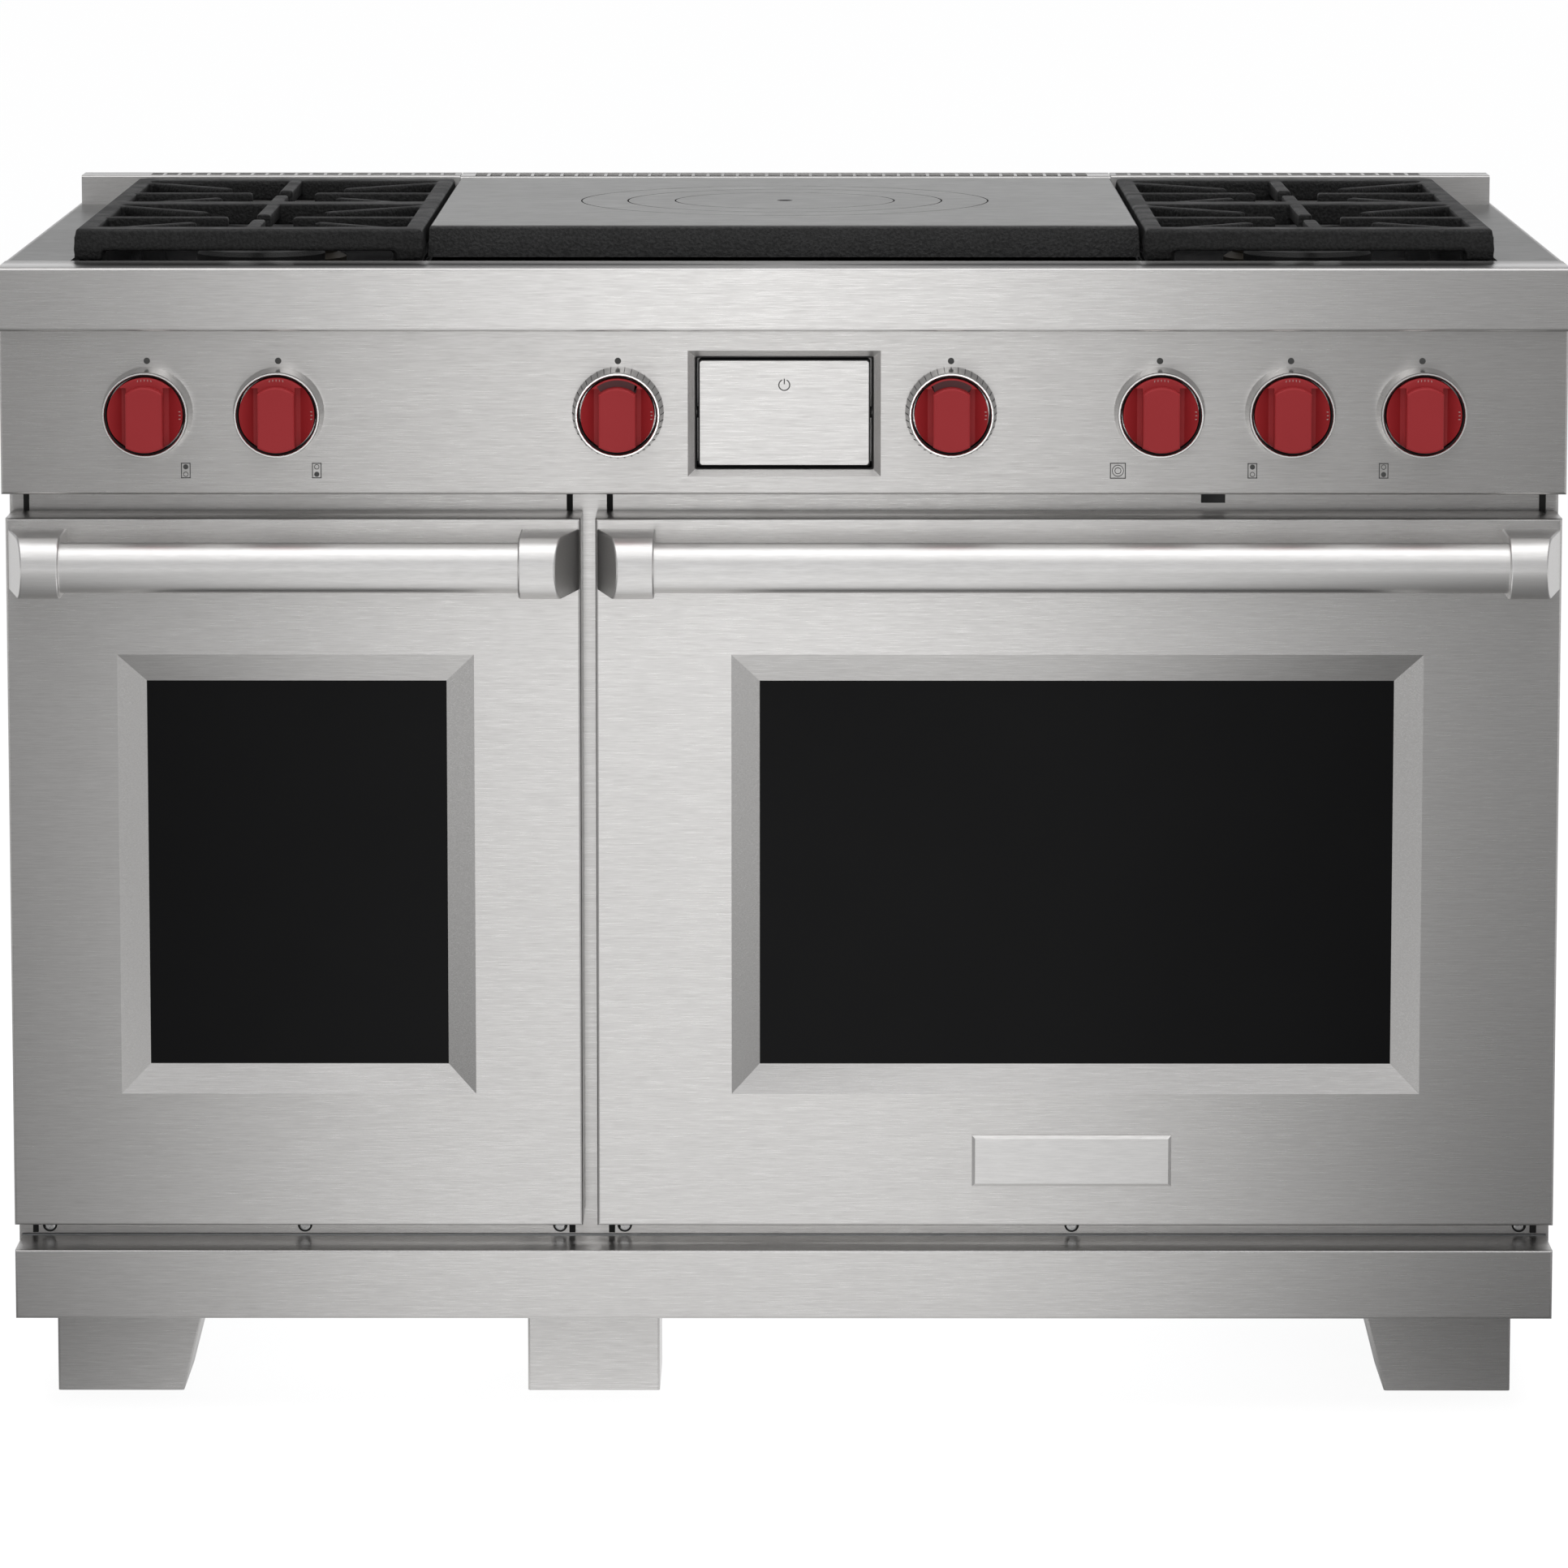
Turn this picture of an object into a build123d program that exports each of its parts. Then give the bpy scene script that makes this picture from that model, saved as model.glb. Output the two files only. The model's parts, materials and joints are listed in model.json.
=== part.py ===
from build123d import *
import os
from math import atan2, degrees

# A 48 inch freestanding gas range: two ovens, four open burners and a French top.
# Millimetres. +X is to the right of someone facing the front, +Y to the back, +Z up.
# The origin is on the floor, at the centre of the overall box.

# Driving dimensions
HALF = 608.0                 # half the overall width
COOKTOP = 914.0              # top of the front edge trim
CAST_TOP = 937.5             # top of the grates and the French top
TOP = 938.0                  # top of the back riser
BACK = 388.0
HANDLE_FRONT = -388.0
NOSE_FRONT = -334.0          # front edge trim, front and back
NOSE_BACK = -262.0
PANEL_FRONT = -320.0         # control panel
DOOR_FRONT = -310.0
DOOR_BACK = -253.0
FACE = -250.0                # front of the plates around the ovens
LEG_TOP = 82.0
KICK_TOP = 137.0
DOOR_BOTTOM = 157.0
DOOR_TOP = 717.0
PANEL_BOTTOM = 737.0
PANEL_TOP = 865.0
SHEET = 2.0                  # sheet metal
SIDE_INNER = HALF - SHEET    # inner face of the side panels
LEG_WALL = 3.0

# Openings along X, as (low, high)
DOORS = {"left": (-605.5, -158.0), "right": (-146.5, 605.5)}
WINDOWS = {"left": (-519.7, -241.4), "right": (-40.8, 498.8)}
CAVITIES = {"left": (-532.0, -228.0), "right": (-88.0, 546.0)}
WINDOW_Z = (262.3, 610.3)
WINDOW_BEVEL = 22.0
WINDOW_DEPTH = 12.0
CAVITY_Z = (215.0, 634.0)
CAVITY_BACK = 258.0

DOOR_EDGE = 2.0              # radius of a door's front edges
LINER = 3.0                  # inner door panel
GLASS = 4.0
HANDLE_RADIUS = 19.5
HANDLE_Y = -364.0
HANDLE_Z = 685.0
BRACKETS = {"left": ((-603.4, -557.5), (-204.2, -158.9)), "right": ((-145.2, -99.8), (558.5, 604.0))}
BRACKET_SLANT = 17.0

# Plates around the ovens
PLATE = 3.0
PLATE_TOP = 760.0
SEAL = 2.2
SEALS = ((-597.0, -592.8), (-170.5, -165.7), (-139.0, -134.2), (593.0, 598.0))
SCREW_Z = 145.0
SCREWS = (-583.7, -380.8, -177.8, -126.5, 228.9, 584.4)

# Door hinges: the doors turn about a line along X
HINGE_Y = -290.0
HINGE_Z = 162.0
HINGES = {"left": (-560.0, -203.0), "right": (-101.0, 560.0)}
HINGE_PIN = 2.8
HINGE_FIT = 0.05             # running clearance, on the radius

# Knobs
KNOB_Z = 801.0
BURNER_KNOBS = (-493.0, -391.3, 291.3, 392.7, 494.4)
OVEN_KNOBS = (-128.3, 129.6)
PUSH = 3.0                   # travel of a burner knob against its spring
CUP_DEPTH = 25.0             # knob cups stand this far out of the panel
CUP_FLOOR = 3.0
SHAFT_HOLE = 8.0             # radius of the holes that stems and shafts pass through
STEM = 3.0                   # radius of a valve stem
STEM_FIT = 0.05
GRIP = 28.5                  # width of a knob's grip bar

# Services, as (x, z) on the rear panel
GAS_INLET = (575.0, 160.0)
GAS_BORE = 9.5
CORD_HOLE = (480.0, 160.0)

# Display that turns over in the control panel
DISPLAY_X = 0.5
DISPLAY_Z = 800.0
DISPLAY_Y = -306.0
DISPLAY_SIZE = (131.7, 16.0, 81.5)
DISPLAY_OUTER = ((DISPLAY_X - 74.8, DISPLAY_X + 74.8), (751.0, 849.0))
DISPLAY_BEVEL = 6.0

# Cooktop
WELL = (283.0, 558.0)        # burner wells, as |X|
CAST_X = (283.5, 554.0)      # grates, as |X|
CAST_Y = (-246.0, 321.0)
BURNER_X = 418.0
BURNER_Y = (-118.0, 149.0)
PAN_FLOOR = 880.0
THROAT = 25.0                # radius of a burner's throat through the pan
TOP_HALF = 279.0             # half the width of the French top
TOP_Y = (-207.0, 333.0)
RING_Y = 64.0                # centre of its rings
TOP_THICK = 25.0
RINGS = (90.0, 129.0, 167.0)
GRATE_BAR = 17.0             # height of a grate's bars
SIDE_BAR = 14.0
END_BAR = 26.0
FINGER_HEIGHT = 12.0
FINGER_TIP = 26.0            # from a burner's centre to the finger tips
LEG_WIDE = 19.5
RISER_Y = 350.0
FLUE_Y = 335.0
SLOT = 10.0
SLOT_PITCH = 12.6

# Ovens
STILE_X = -152.4             # joint between the two face plates
RACK_Z = 340.0
RACK_Y = (-205.0, 235.0)


def block(x, y, z):
    """Box between pairs of coordinates."""
    size = [high - low for low, high in (x, y, z)]
    centre = [(high + low) / 2 for low, high in (x, y, z)]
    return Pos(*centre) * Box(*size)


def rod_x(radius, x, y, z):
    return Pos((x[0] + x[1]) / 2, y, z) * Rot(0, 90, 0) * Cylinder(radius, x[1] - x[0])


def rod_y(radius, x, y, z):
    return Pos(x, (y[0] + y[1]) / 2, z) * Rot(90, 0, 0) * Cylinder(radius, y[1] - y[0])


def rod_z(radius, x, y, z):
    return Pos(x, y, (z[0] + z[1]) / 2) * Cylinder(radius, z[1] - z[0])


def widen(pair, amount):
    """A pair of coordinates with both ends moved outwards."""
    return (pair[0] - amount, pair[1] + amount)


def along_y(face, y):
    """Extrude a face of the XZ plane between two places along Y."""
    return Pos(0, y[0], 0) * extrude(face, y[1] - y[0], dir=(0, 1, 0))


def along_z(face, z):
    """Extrude a face of the XY plane between two heights."""
    return Pos(0, 0, z[0]) * extrude(face, z[1] - z[0], dir=(0, 0, 1))


def mirrored(solid):
    """The same piece on the other side of the range."""
    return mirror(solid, about=Plane.YZ)


def front_frame(outer, inner, y_outer, y_inner):
    """Solid funnel between two upright rectangles, each given as (x pair, z pair)."""
    sections = []
    for (x, z), y in ((outer, y_outer), (inner, y_inner)):
        plane = Plane(origin=((x[0] + x[1]) / 2, y, (z[0] + z[1]) / 2), x_dir=(1, 0, 0), z_dir=(0, -1, 0))
        sections.append(plane * Rectangle(x[1] - x[0], z[1] - z[0]))
    return loft(sections)


def edges_at(shape, axis, value, near=0.6):
    """Edges whose middle lies at one coordinate along an axis."""
    return shape.edges().filter_by(lambda edge: abs(getattr(edge.center(), axis) - value) < near)


def save(node, *solids):
    shape = solids[0] if len(solids) == 1 else Compound(list(solids))
    export_step(shape, f"parts/{node}.step")


# ---------------------------------------------------------------- cabinet

def side_panel():
    panel = block((HALF - SHEET, HALF), (FACE, BACK - SHEET), (LEG_TOP + SHEET, 913.0))
    return panel


def rear_panel():
    panel = block((-HALF, HALF), (BACK - SHEET, BACK), (LEG_TOP + SHEET, 880.0))
    inlet = rod_y(15.0, GAS_INLET[0], (BACK - 5, BACK + 5), GAS_INLET[1])
    cord_hole = rod_y(11.0, CORD_HOLE[0], (BACK - 5, BACK + 5), CORD_HOLE[1])
    return panel - inlet - cord_hole


def base_frame():
    """Floor pan of the cabinet, with two cross rails and upturned front and back edges."""
    inner = SIDE_INNER
    tray = block((-inner, inner), (FACE + SHEET, BACK - SHEET), (LEG_TOP, LEG_TOP + SHEET))
    for y in (FACE + SHEET, BACK - 2 * SHEET):
        tray += block((-inner, inner), (y, y + SHEET), (LEG_TOP, KICK_TOP))
    for y in (-160.0, 290.0):
        tray += block((-inner, inner), (y, y + 30.0), (LEG_TOP + SHEET, LEG_TOP + 30.0))
    return tray


def kick_panel():
    ends = (-605.5, 605.5)
    shell = block(ends, (DOOR_FRONT, -255.0), (LEG_TOP, KICK_TOP))
    shell = fillet(edges_at(shell, "Y", DOOR_FRONT), 2.0)
    hollow = block(widen(ends, -SHEET), (DOOR_FRONT + SHEET, -250.0), (LEG_TOP - 5, KICK_TOP - SHEET))
    return shell - hollow


def leg_sleeve(points, y):
    """Leg folded from sheet, open underneath, from its outline seen from the front."""
    outline = make_face(Plane.XZ * Polyline(*points, close=True))
    solid = along_y(outline, y)
    front = edges_at(solid, "Y", y[0]).filter_by(lambda edge: edge.center().Z > 1)
    solid = fillet(front, 2.0)
    hollow = along_y(offset(outline, -LEG_WALL), widen(y, -LEG_WALL))
    return solid - Pos(0, 0, -LEG_WALL) * hollow


def corner_leg(y):
    return leg_sleeve([(583, 0), (482, 0), (461, LEG_TOP), (583, LEG_TOP)], y)


def middle_leg():
    return leg_sleeve([(-205.6, 0), (-99.6, 0), (-99.6, LEG_TOP), (-205.6, LEG_TOP)], (-206.0, -106.0))


def legs():
    front = corner_leg((-206.0, -106.0))
    rear = corner_leg((265.0, 365.0))
    return [front, mirrored(front), middle_leg(), rear, mirrored(rear)]


# ---------------------------------------------------------------- oven fronts

def oven_front(side, x):
    """Face plate around one oven, with slots for the hinge arms and holes for its screws."""
    plate = block(x, (FACE, FACE + PLATE), (KICK_TOP + 1, PLATE_TOP))
    plate -= block(CAVITIES[side], (FACE - 5, FACE + 5), CAVITY_Z)
    for hinge_x in HINGES[side]:
        plate -= block((hinge_x - 4.5, hinge_x + 4.5), (FACE - 5, FACE + 5), (HINGE_Z - 9, HINGE_Z + 9))
    for screw_x in SCREWS:
        if x[0] < screw_x < x[1]:
            plate -= rod_y(2.6, screw_x, (FACE - 5, FACE + 5), SCREW_Z)
    return plate


def front_seals():
    """Upright seals beside the doors and a gasket around each cavity."""
    y = (FACE - SEAL, FACE)
    seals = [block(x, y, (KICK_TOP + 2, PANEL_BOTTOM - 1)) for x in SEALS]
    for cavity in CAVITIES.values():
        ring = block(widen(cavity, 14), y, widen(CAVITY_Z, 14))
        seals.append(ring - block(widen(cavity, 4), widen(y, 1), widen(CAVITY_Z, 4)))
    return seals


def screw(x):
    """Pan head screw with a cross recess."""
    y = FACE - 2.2
    head = rod_y(4.2, x, (y, FACE), SCREW_Z)
    head = chamfer(edges_at(head, "Y", y), 0.9)
    for width, height in ((5.0, 1.0), (1.0, 5.0)):
        head -= block((x - width / 2, x + width / 2), (y - 1, y + 1), (SCREW_Z - height / 2, SCREW_Z + height / 2))
    return head + rod_y(2.4, x, (FACE, FACE + 12), SCREW_Z)


def hinge_receiver(x):
    """Arm that carries one door hinge pin, with its box behind the face plate."""
    arm = block((x - 3, x + 3), (HINGE_Y, FACE + PLATE), (HINGE_Z - 8, HINGE_Z + 8))
    arm += rod_x(8.0, (x - 3, x + 3), HINGE_Y, HINGE_Z)
    arm -= rod_x(HINGE_PIN + HINGE_FIT, (x - 5, x + 5), HINGE_Y, HINGE_Z)
    return arm + block((x - 10, x + 10), (FACE + PLATE, -215.0), (HINGE_Z - 12, HINGE_Z + 12))


# ---------------------------------------------------------------- doors

def door_skin(side):
    """Outer pan of a door, folded from sheet, with a bevelled recess around the window."""
    x = DOORS[side]
    window = WINDOWS[side]
    z = (DOOR_BOTTOM, DOOR_TOP)
    skin_back = DOOR_BACK - LINER
    skin = block(x, (DOOR_FRONT, skin_back), z)
    skin = fillet(edges_at(skin, "Y", DOOR_FRONT), DOOR_EDGE)
    skin -= block(widen(x, -SHEET), (DOOR_FRONT + SHEET, skin_back + 1), widen(z, -SHEET))
    seat = DOOR_FRONT + WINDOW_DEPTH
    inner_x = widen(window, -WINDOW_BEVEL)
    inner_z = widen(WINDOW_Z, -WINDOW_BEVEL)
    skin += front_frame((widen(window, SHEET), widen(WINDOW_Z, SHEET)),
                        (widen(inner_x, SHEET), widen(inner_z, SHEET)), DOOR_FRONT + 1, seat)
    skin -= front_frame((window, WINDOW_Z), (inner_x, inner_z), DOOR_FRONT, seat)
    skin -= block(inner_x, (seat - 1, seat + 1), inner_z)
    skin -= block(window, (DOOR_FRONT - 1, DOOR_FRONT), WINDOW_Z)
    for hinge_x in HINGES[side]:
        skin -= hinge_slot(hinge_x)
    return skin


def hinge_slot(x):
    """Space that an arm sweeps in the door's lower back corner."""
    return block((x - 4, x + 4), (HINGE_Y - 10, DOOR_BACK + 1), (DOOR_BOTTOM - 1, HINGE_Z + 9))


def door_liner(side):
    """Inner panel of a door, with the opening for its inner glass."""
    x = widen(DOORS[side], -1)
    view = widen(WINDOWS[side], -WINDOW_BEVEL - 8)
    view_z = widen(WINDOW_Z, -WINDOW_BEVEL - 8)
    liner = block(x, (DOOR_BACK - LINER, DOOR_BACK), (DOOR_BOTTOM + 1, DOOR_TOP - 1))
    liner -= block(view, (DOOR_BACK - 10, DOOR_BACK + 10), view_z)
    for hinge_x in HINGES[side]:
        liner -= hinge_slot(hinge_x)
    return liner


def door_glass(side):
    """Outer and inner window panes."""
    x = widen(WINDOWS[side], -WINDOW_BEVEL + 6)
    z = widen(WINDOW_Z, -WINDOW_BEVEL + 6)
    seat = DOOR_FRONT + WINDOW_DEPTH
    inner = DOOR_BACK - LINER
    return [block(x, (seat, seat + GLASS), z), block(x, (inner - GLASS, inner), z)]


def door_handle(side):
    outer, inner = BRACKETS[side]
    return rod_x(HANDLE_RADIUS, (outer[1], inner[0]), HANDLE_Y, HANDLE_Z)


def bracket(x, outer_side):
    """Handle post: round nose, straight inner face, outer face slanting inwards to the front."""
    radius = HANDLE_Y - HANDLE_FRONT
    post = block(x, (HANDLE_Y, DOOR_FRONT), (HANDLE_Z - radius, HANDLE_Z + radius))
    post += rod_x(radius, x, HANDLE_Y, HANDLE_Z)
    edge = x[0] if outer_side < 0 else x[1]
    wedge = Polyline((edge, DOOR_FRONT), (edge - outer_side * BRACKET_SLANT, HANDLE_FRONT - 1),
                     (edge + outer_side * 5, HANDLE_FRONT - 1), (edge + outer_side * 5, DOOR_FRONT), close=True)
    post -= along_z(make_face(wedge), (HANDLE_Z - 40, HANDLE_Z + 40))
    return fillet(post.edges().filter_by(lambda edge: edge.center().Y < DOOR_FRONT - 5
                                         and edge.length > 60), 1.6)


def brackets(side):
    outer, inner = BRACKETS[side]
    return [bracket(outer, -1), bracket(inner, 1)]


def badge_plate():
    """Plain raised plate low on the right door."""
    x = (148.0, 304.5)
    plate = block(x, (DOOR_FRONT - 4, DOOR_FRONT), (189.0, 229.5))
    return chamfer(edges_at(plate, "Y", DOOR_FRONT - 4), 2.4)


def door_hinge(x):
    """Hinge pin held between two cheeks that stand on the door's lower edge."""
    piece = rod_x(HINGE_PIN, (x - 12, x + 12), HINGE_Y, HINGE_Z)
    for cheek_x in (x - 12, x + 6):
        piece += block((cheek_x, cheek_x + 6), (HINGE_Y - 12, HINGE_Y + 12), (DOOR_BOTTOM + SHEET, HINGE_Z + 16))
    return piece


# ---------------------------------------------------------------- control panel

def control_panel():
    x = (-607.4, 607.4)
    shell = block(x, (PANEL_FRONT, FACE), (PANEL_BOTTOM, PANEL_TOP))
    corner = edges_at(shell, "Y", PANEL_FRONT).filter_by(lambda edge: edge.center().Z < PANEL_TOP - 1)
    shell = fillet(corner, 2.0)
    shell -= block(widen(x, -SHEET), (PANEL_FRONT + SHEET, FACE + 5), (PANEL_BOTTOM + SHEET, PANEL_TOP + 5))
    for knob_x in BURNER_KNOBS + OVEN_KNOBS:
        shell -= rod_y(SHAFT_HOLE, knob_x, (PANEL_FRONT - 5, PANEL_FRONT + 5), KNOB_Z)
    return shell - block(DISPLAY_OUTER[0], (PANEL_FRONT - 5, PANEL_FRONT + 5), DISPLAY_OUTER[1])


def display_frame():
    """Bevelled frame and the housing that the display turns in."""
    x, z = DISPLAY_OUTER
    inner_x = (DISPLAY_X - 68.65, DISPLAY_X + 68.65)
    inner_z = (DISPLAY_Z - 43.45, DISPLAY_Z + 43.45)
    front = PANEL_FRONT + DISPLAY_BEVEL
    back = DISPLAY_Y + 44.0
    frame = block(x, (PANEL_FRONT, back + 3), z)
    frame -= front_frame((x, z), (inner_x, inner_z), PANEL_FRONT, front)
    frame -= block(inner_x, (front - 1, back), inner_z)
    for side in (-1, 1):
        centre = DISPLAY_X + side * 70.4
        frame -= rod_x(4.0, (centre - 3, centre + 3), DISPLAY_Y, DISPLAY_Z)
    return frame


def display_panel():
    width, depth, height = DISPLAY_SIZE
    panel = Pos(DISPLAY_X, DISPLAY_Y, DISPLAY_Z) * Box(width, depth, height)
    panel = fillet(panel.edges().filter_by(Axis.Y), 2.3)
    panel = fillet(edges_at(panel, "Y", DISPLAY_Y - depth / 2), 0.5)
    reach = width / 2 + 5
    return panel + rod_x(4.0 - 0.05, (DISPLAY_X - reach, DISPLAY_X + reach), DISPLAY_Y, DISPLAY_Z)


def turned(outline, x, z):
    """Solid of revolution about a line along Y, from (radius, y) points."""
    return Pos(x, 0, z) * revolve(make_face(Polyline(*outline, close=True)), Axis.Y)


def burner_bezel(x):
    """Deep cup that a burner knob sits in."""
    y = PANEL_FRONT
    rim = y - CUP_DEPTH
    return turned([(SHAFT_HOLE, y), (35.4, y), (33.4, rim + 1.6), (32.8, rim), (31.7, rim), (31.2, rim + 1),
                   (31.2, y - CUP_FLOOR), (SHAFT_HOLE, y - CUP_FLOOR)], x, KNOB_Z)


def oven_bezel(x):
    """Cup with a sloping ring for the graduations."""
    y = PANEL_FRONT
    rim = y - CUP_DEPTH
    return turned([(SHAFT_HOLE, y), (35.5, y), (35.5, y - 2.5), (33.2, rim + 3), (32.4, rim), (31.3, rim),
                   (30.7, rim + 1), (30.7, y - CUP_FLOOR), (SHAFT_HOLE, y - CUP_FLOOR)], x, KNOB_Z)


def knob(x, radius):
    """Round knob with a raised grip bar and a hollow beside it on each side."""
    back = PANEL_FRONT - CUP_FLOOR - PUSH - 1
    rim = PANEL_FRONT - CUP_DEPTH
    body = rod_y(radius, 0, (rim, back), 0)
    body = fillet(edges_at(body, "Y", rim), 1.5)
    for side in (-1, 1):
        hollow = Polyline((side * GRIP / 2, rim - 1), (side * GRIP / 2, rim + 7), (side * (GRIP / 2 + 4), rim + 7),
                          (side * (radius - 1), rim + 0.5), (side * (radius + 2), rim - 1), close=True)
        body -= along_z(make_face(hollow), (-radius - 2, radius - 8))
    lower = Circle(radius - 0.8) & Pos(0, -radius) * Rectangle(2 * radius, 2 * radius)
    outline = (lower + Circle(radius - 7)) & Rectangle(GRIP, 3 * radius)
    bar = along_y(Plane.XZ * outline, (rim - 10, rim + 8))
    bar = fillet(edges_at(bar, "Y", rim - 10), 1.6)
    return Pos(x, 0, KNOB_Z) * (body + bar)


def burner_knob(x):
    bore = rod_y(STEM + STEM_FIT, x, (PANEL_FRONT - 21, PANEL_FRONT - 5), KNOB_Z)
    return knob(x, 29.2) - bore


def oven_knob(x):
    return knob(x, 28.6) + rod_y(STEM, x, (PANEL_FRONT - 8, -284.0), KNOB_Z)


def valve_stem(x):
    return rod_y(STEM, x, (PANEL_FRONT - 20, -282.0), KNOB_Z)


def gas_valve(x):
    """Valve body on the manifold, bored for its stem."""
    body = block((x - 14, x + 14), (-296.0, -256.0), (KNOB_Z - 16, KNOB_Z + 16))
    body = fillet(body.edges().filter_by(Axis.Y), 5.0)
    return body - rod_y(3.3, x, (-300.0, -276.0), KNOB_Z)


def gas_manifold():
    """Pipe behind the valves that runs back and down to the inlet on the rear panel."""
    x, z = GAS_INLET
    y = -247.0
    down_y = 330.0
    pipe = rod_x(9.0, (-510.0, x), y, KNOB_Z)
    pipe += rod_y(9.0, x, (y, down_y), KNOB_Z)
    pipe += rod_z(9.0, x, down_y, (z, KNOB_Z))
    for joint in ((x, y, KNOB_Z), (x, down_y, KNOB_Z), (x, down_y, z)):
        pipe += Pos(*joint) * Sphere(12.0)
    pipe += rod_z(29.0, x, down_y, (300.0, 335.0))
    pipe += rod_y(14.0, x, (down_y, BACK), z)
    return pipe - rod_y(GAS_BORE, x, (BACK - 20, BACK + 1), z)


def oven_controls():
    """Selector switches behind the oven knobs and the board behind the display."""
    pieces = []
    for x in OVEN_KNOBS:
        body = block((x - 20, x + 20), (-300.0, -270.0), (KNOB_Z - 20, KNOB_Z + 20))
        pieces.append(body - rod_y(3.3, x, (-301.0, -280.0), KNOB_Z))
    pieces.append(block((-90.0, 91.0), (-256.0, -254.0), (755.0, 785.0)))
    return pieces


# ---------------------------------------------------------------- cooktop

def bullnose():
    """Front edge trim across the full width, open at the back."""
    x = (-HALF, HALF)
    trim = block(x, (NOSE_FRONT, NOSE_BACK), (PANEL_TOP, COOKTOP))
    trim = fillet(edges_at(trim, "Y", NOSE_FRONT), 2.5)
    return trim - block(widen(x, -SHEET), (NOSE_FRONT + SHEET, NOSE_BACK + 5),
                        (PANEL_TOP + SHEET, COOKTOP - SHEET))


def cooktop_rails():
    """Side rails of the cooktop and the strips between its wells."""
    y = (NOSE_BACK, RISER_Y)
    rail = block((WELL[1], SIDE_INNER), y, (PAN_FLOOR, 913.0))
    rail -= block((WELL[1] + SHEET, SIDE_INNER - SHEET), widen(y, 5), (PAN_FLOOR - 5, 911.0))
    strip = block((279.5, 282.5), (NOSE_BACK, FLUE_Y), (PAN_FLOOR, 905.0))
    return [rail, mirrored(rail), strip, mirrored(strip)]


def pan(x, y, rim, burners):
    """Open pan with a hole under each burner, given as (x, y)."""
    shell = block(x, y, (PAN_FLOOR - SHEET, rim))
    shell -= block(widen(x, -SHEET), widen(y, -SHEET), (PAN_FLOOR, rim + 5))
    for burner_x, burner_y in burners:
        shell -= rod_z(THROAT + 1, burner_x, burner_y, (PAN_FLOOR - 5, PAN_FLOOR + 5))
    return shell


def burner_pans():
    holes = [(BURNER_X, y) for y in BURNER_Y]
    side = pan((WELL[0] + 0.2, WELL[1]), (NOSE_BACK + 0.5, RISER_Y - 0.5), 909.0, holes)
    middle = pan((-278.5, 278.5), (NOSE_BACK + 0.5, FLUE_Y - 0.5), CAST_TOP - TOP_THICK, ())
    return [side, mirrored(side), middle]


def upright(outline, x, y):
    """Solid of revolution about an upright line, from (radius, z) points."""
    return Pos(x, y, 0) * revolve(make_face(Plane.XZ * Polyline(*outline, close=True)), Axis.Z)


def burners():
    """Burner bodies, each with its venturi throat through the pan."""
    z = PAN_FLOOR
    outline = [(10, z - 12), (THROAT, z - 12), (THROAT, z), (52, z), (52, z + 5), (45, z + 9),
               (45, z + 22), (10, z + 22)]
    return [upright(outline, x, y) for x in (-BURNER_X, BURNER_X) for y in BURNER_Y]


def burner_caps():
    z = PAN_FLOOR + 22
    outline = [(0, z), (50, z), (51, z + 1), (51, z + 7), (48, z + 10.5), (30, z + 12), (0, z + 12)]
    return [upright(outline, x, y) for x in (-BURNER_X, BURNER_X) for y in BURNER_Y]


def grate():
    """Cast grate over two burners, on four legs that stand in the pan."""
    x0, x1 = CAST_X
    y0, y1 = CAST_Y
    low = CAST_TOP - GRATE_BAR
    body = tapered(CAST_X, CAST_Y, (low, CAST_TOP), 2.0)
    middle = (22.0, 53.0)
    bay_x = (x0 + SIDE_BAR, x1 - SIDE_BAR)
    for bay_y in ((y0 + END_BAR, middle[0]), (middle[1], y1 - END_BAR)):
        body -= block(bay_x, bay_y, (low - 1, CAST_TOP + 1))
    z = (CAST_TOP - FINGER_HEIGHT, CAST_TOP)
    for burner_y, bay_y in zip(BURNER_Y, ((y0 + END_BAR, middle[0]), (middle[1], y1 - END_BAR))):
        body += block((bay_x[0] - 2, BURNER_X - FINGER_TIP), (burner_y - 5.5, burner_y + 5.5), z)
        body += block((BURNER_X + FINGER_TIP, bay_x[1] + 2), (burner_y - 5.5, burner_y + 5.5), z)
        body += block((BURNER_X - 5.5, BURNER_X + 5.5), (bay_y[0] - 2, burner_y - FINGER_TIP), z)
        body += block((BURNER_X - 5.5, BURNER_X + 5.5), (burner_y + FINGER_TIP, bay_y[1] + 2), z)
        for side in (-1, 1):
            for bay_end in bay_y:
                towards = 1 if bay_end > burner_y else -1
                start = (BURNER_X + side * 124.0, burner_y + towards * 125.0)
                end = (BURNER_X + side * 49.0, burner_y + towards * 54.0)
                body += diagonal(start, end)
    for leg_x in (x0 + 3.0, x1 - 3.0 - LEG_WIDE):
        for leg_y in (y0 + 3.0, y1 - 3.0 - LEG_WIDE):
            body += block((leg_x, leg_x + LEG_WIDE), (leg_y, leg_y + LEG_WIDE), (PAN_FLOOR, low))
    return body


def tapered(x, y, z, draft):
    """Block that grows by the draft on each side towards its lower end."""
    sections = []
    for height, grow in ((z[0], draft), (z[1], 0.0)):
        across, along = widen(x, grow), widen(y, grow)
        plane = Plane(origin=((x[0] + x[1]) / 2, (y[0] + y[1]) / 2, height))
        sections.append(plane * Rectangle(across[1] - across[0], along[1] - along[0]))
    return loft(sections)


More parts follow.
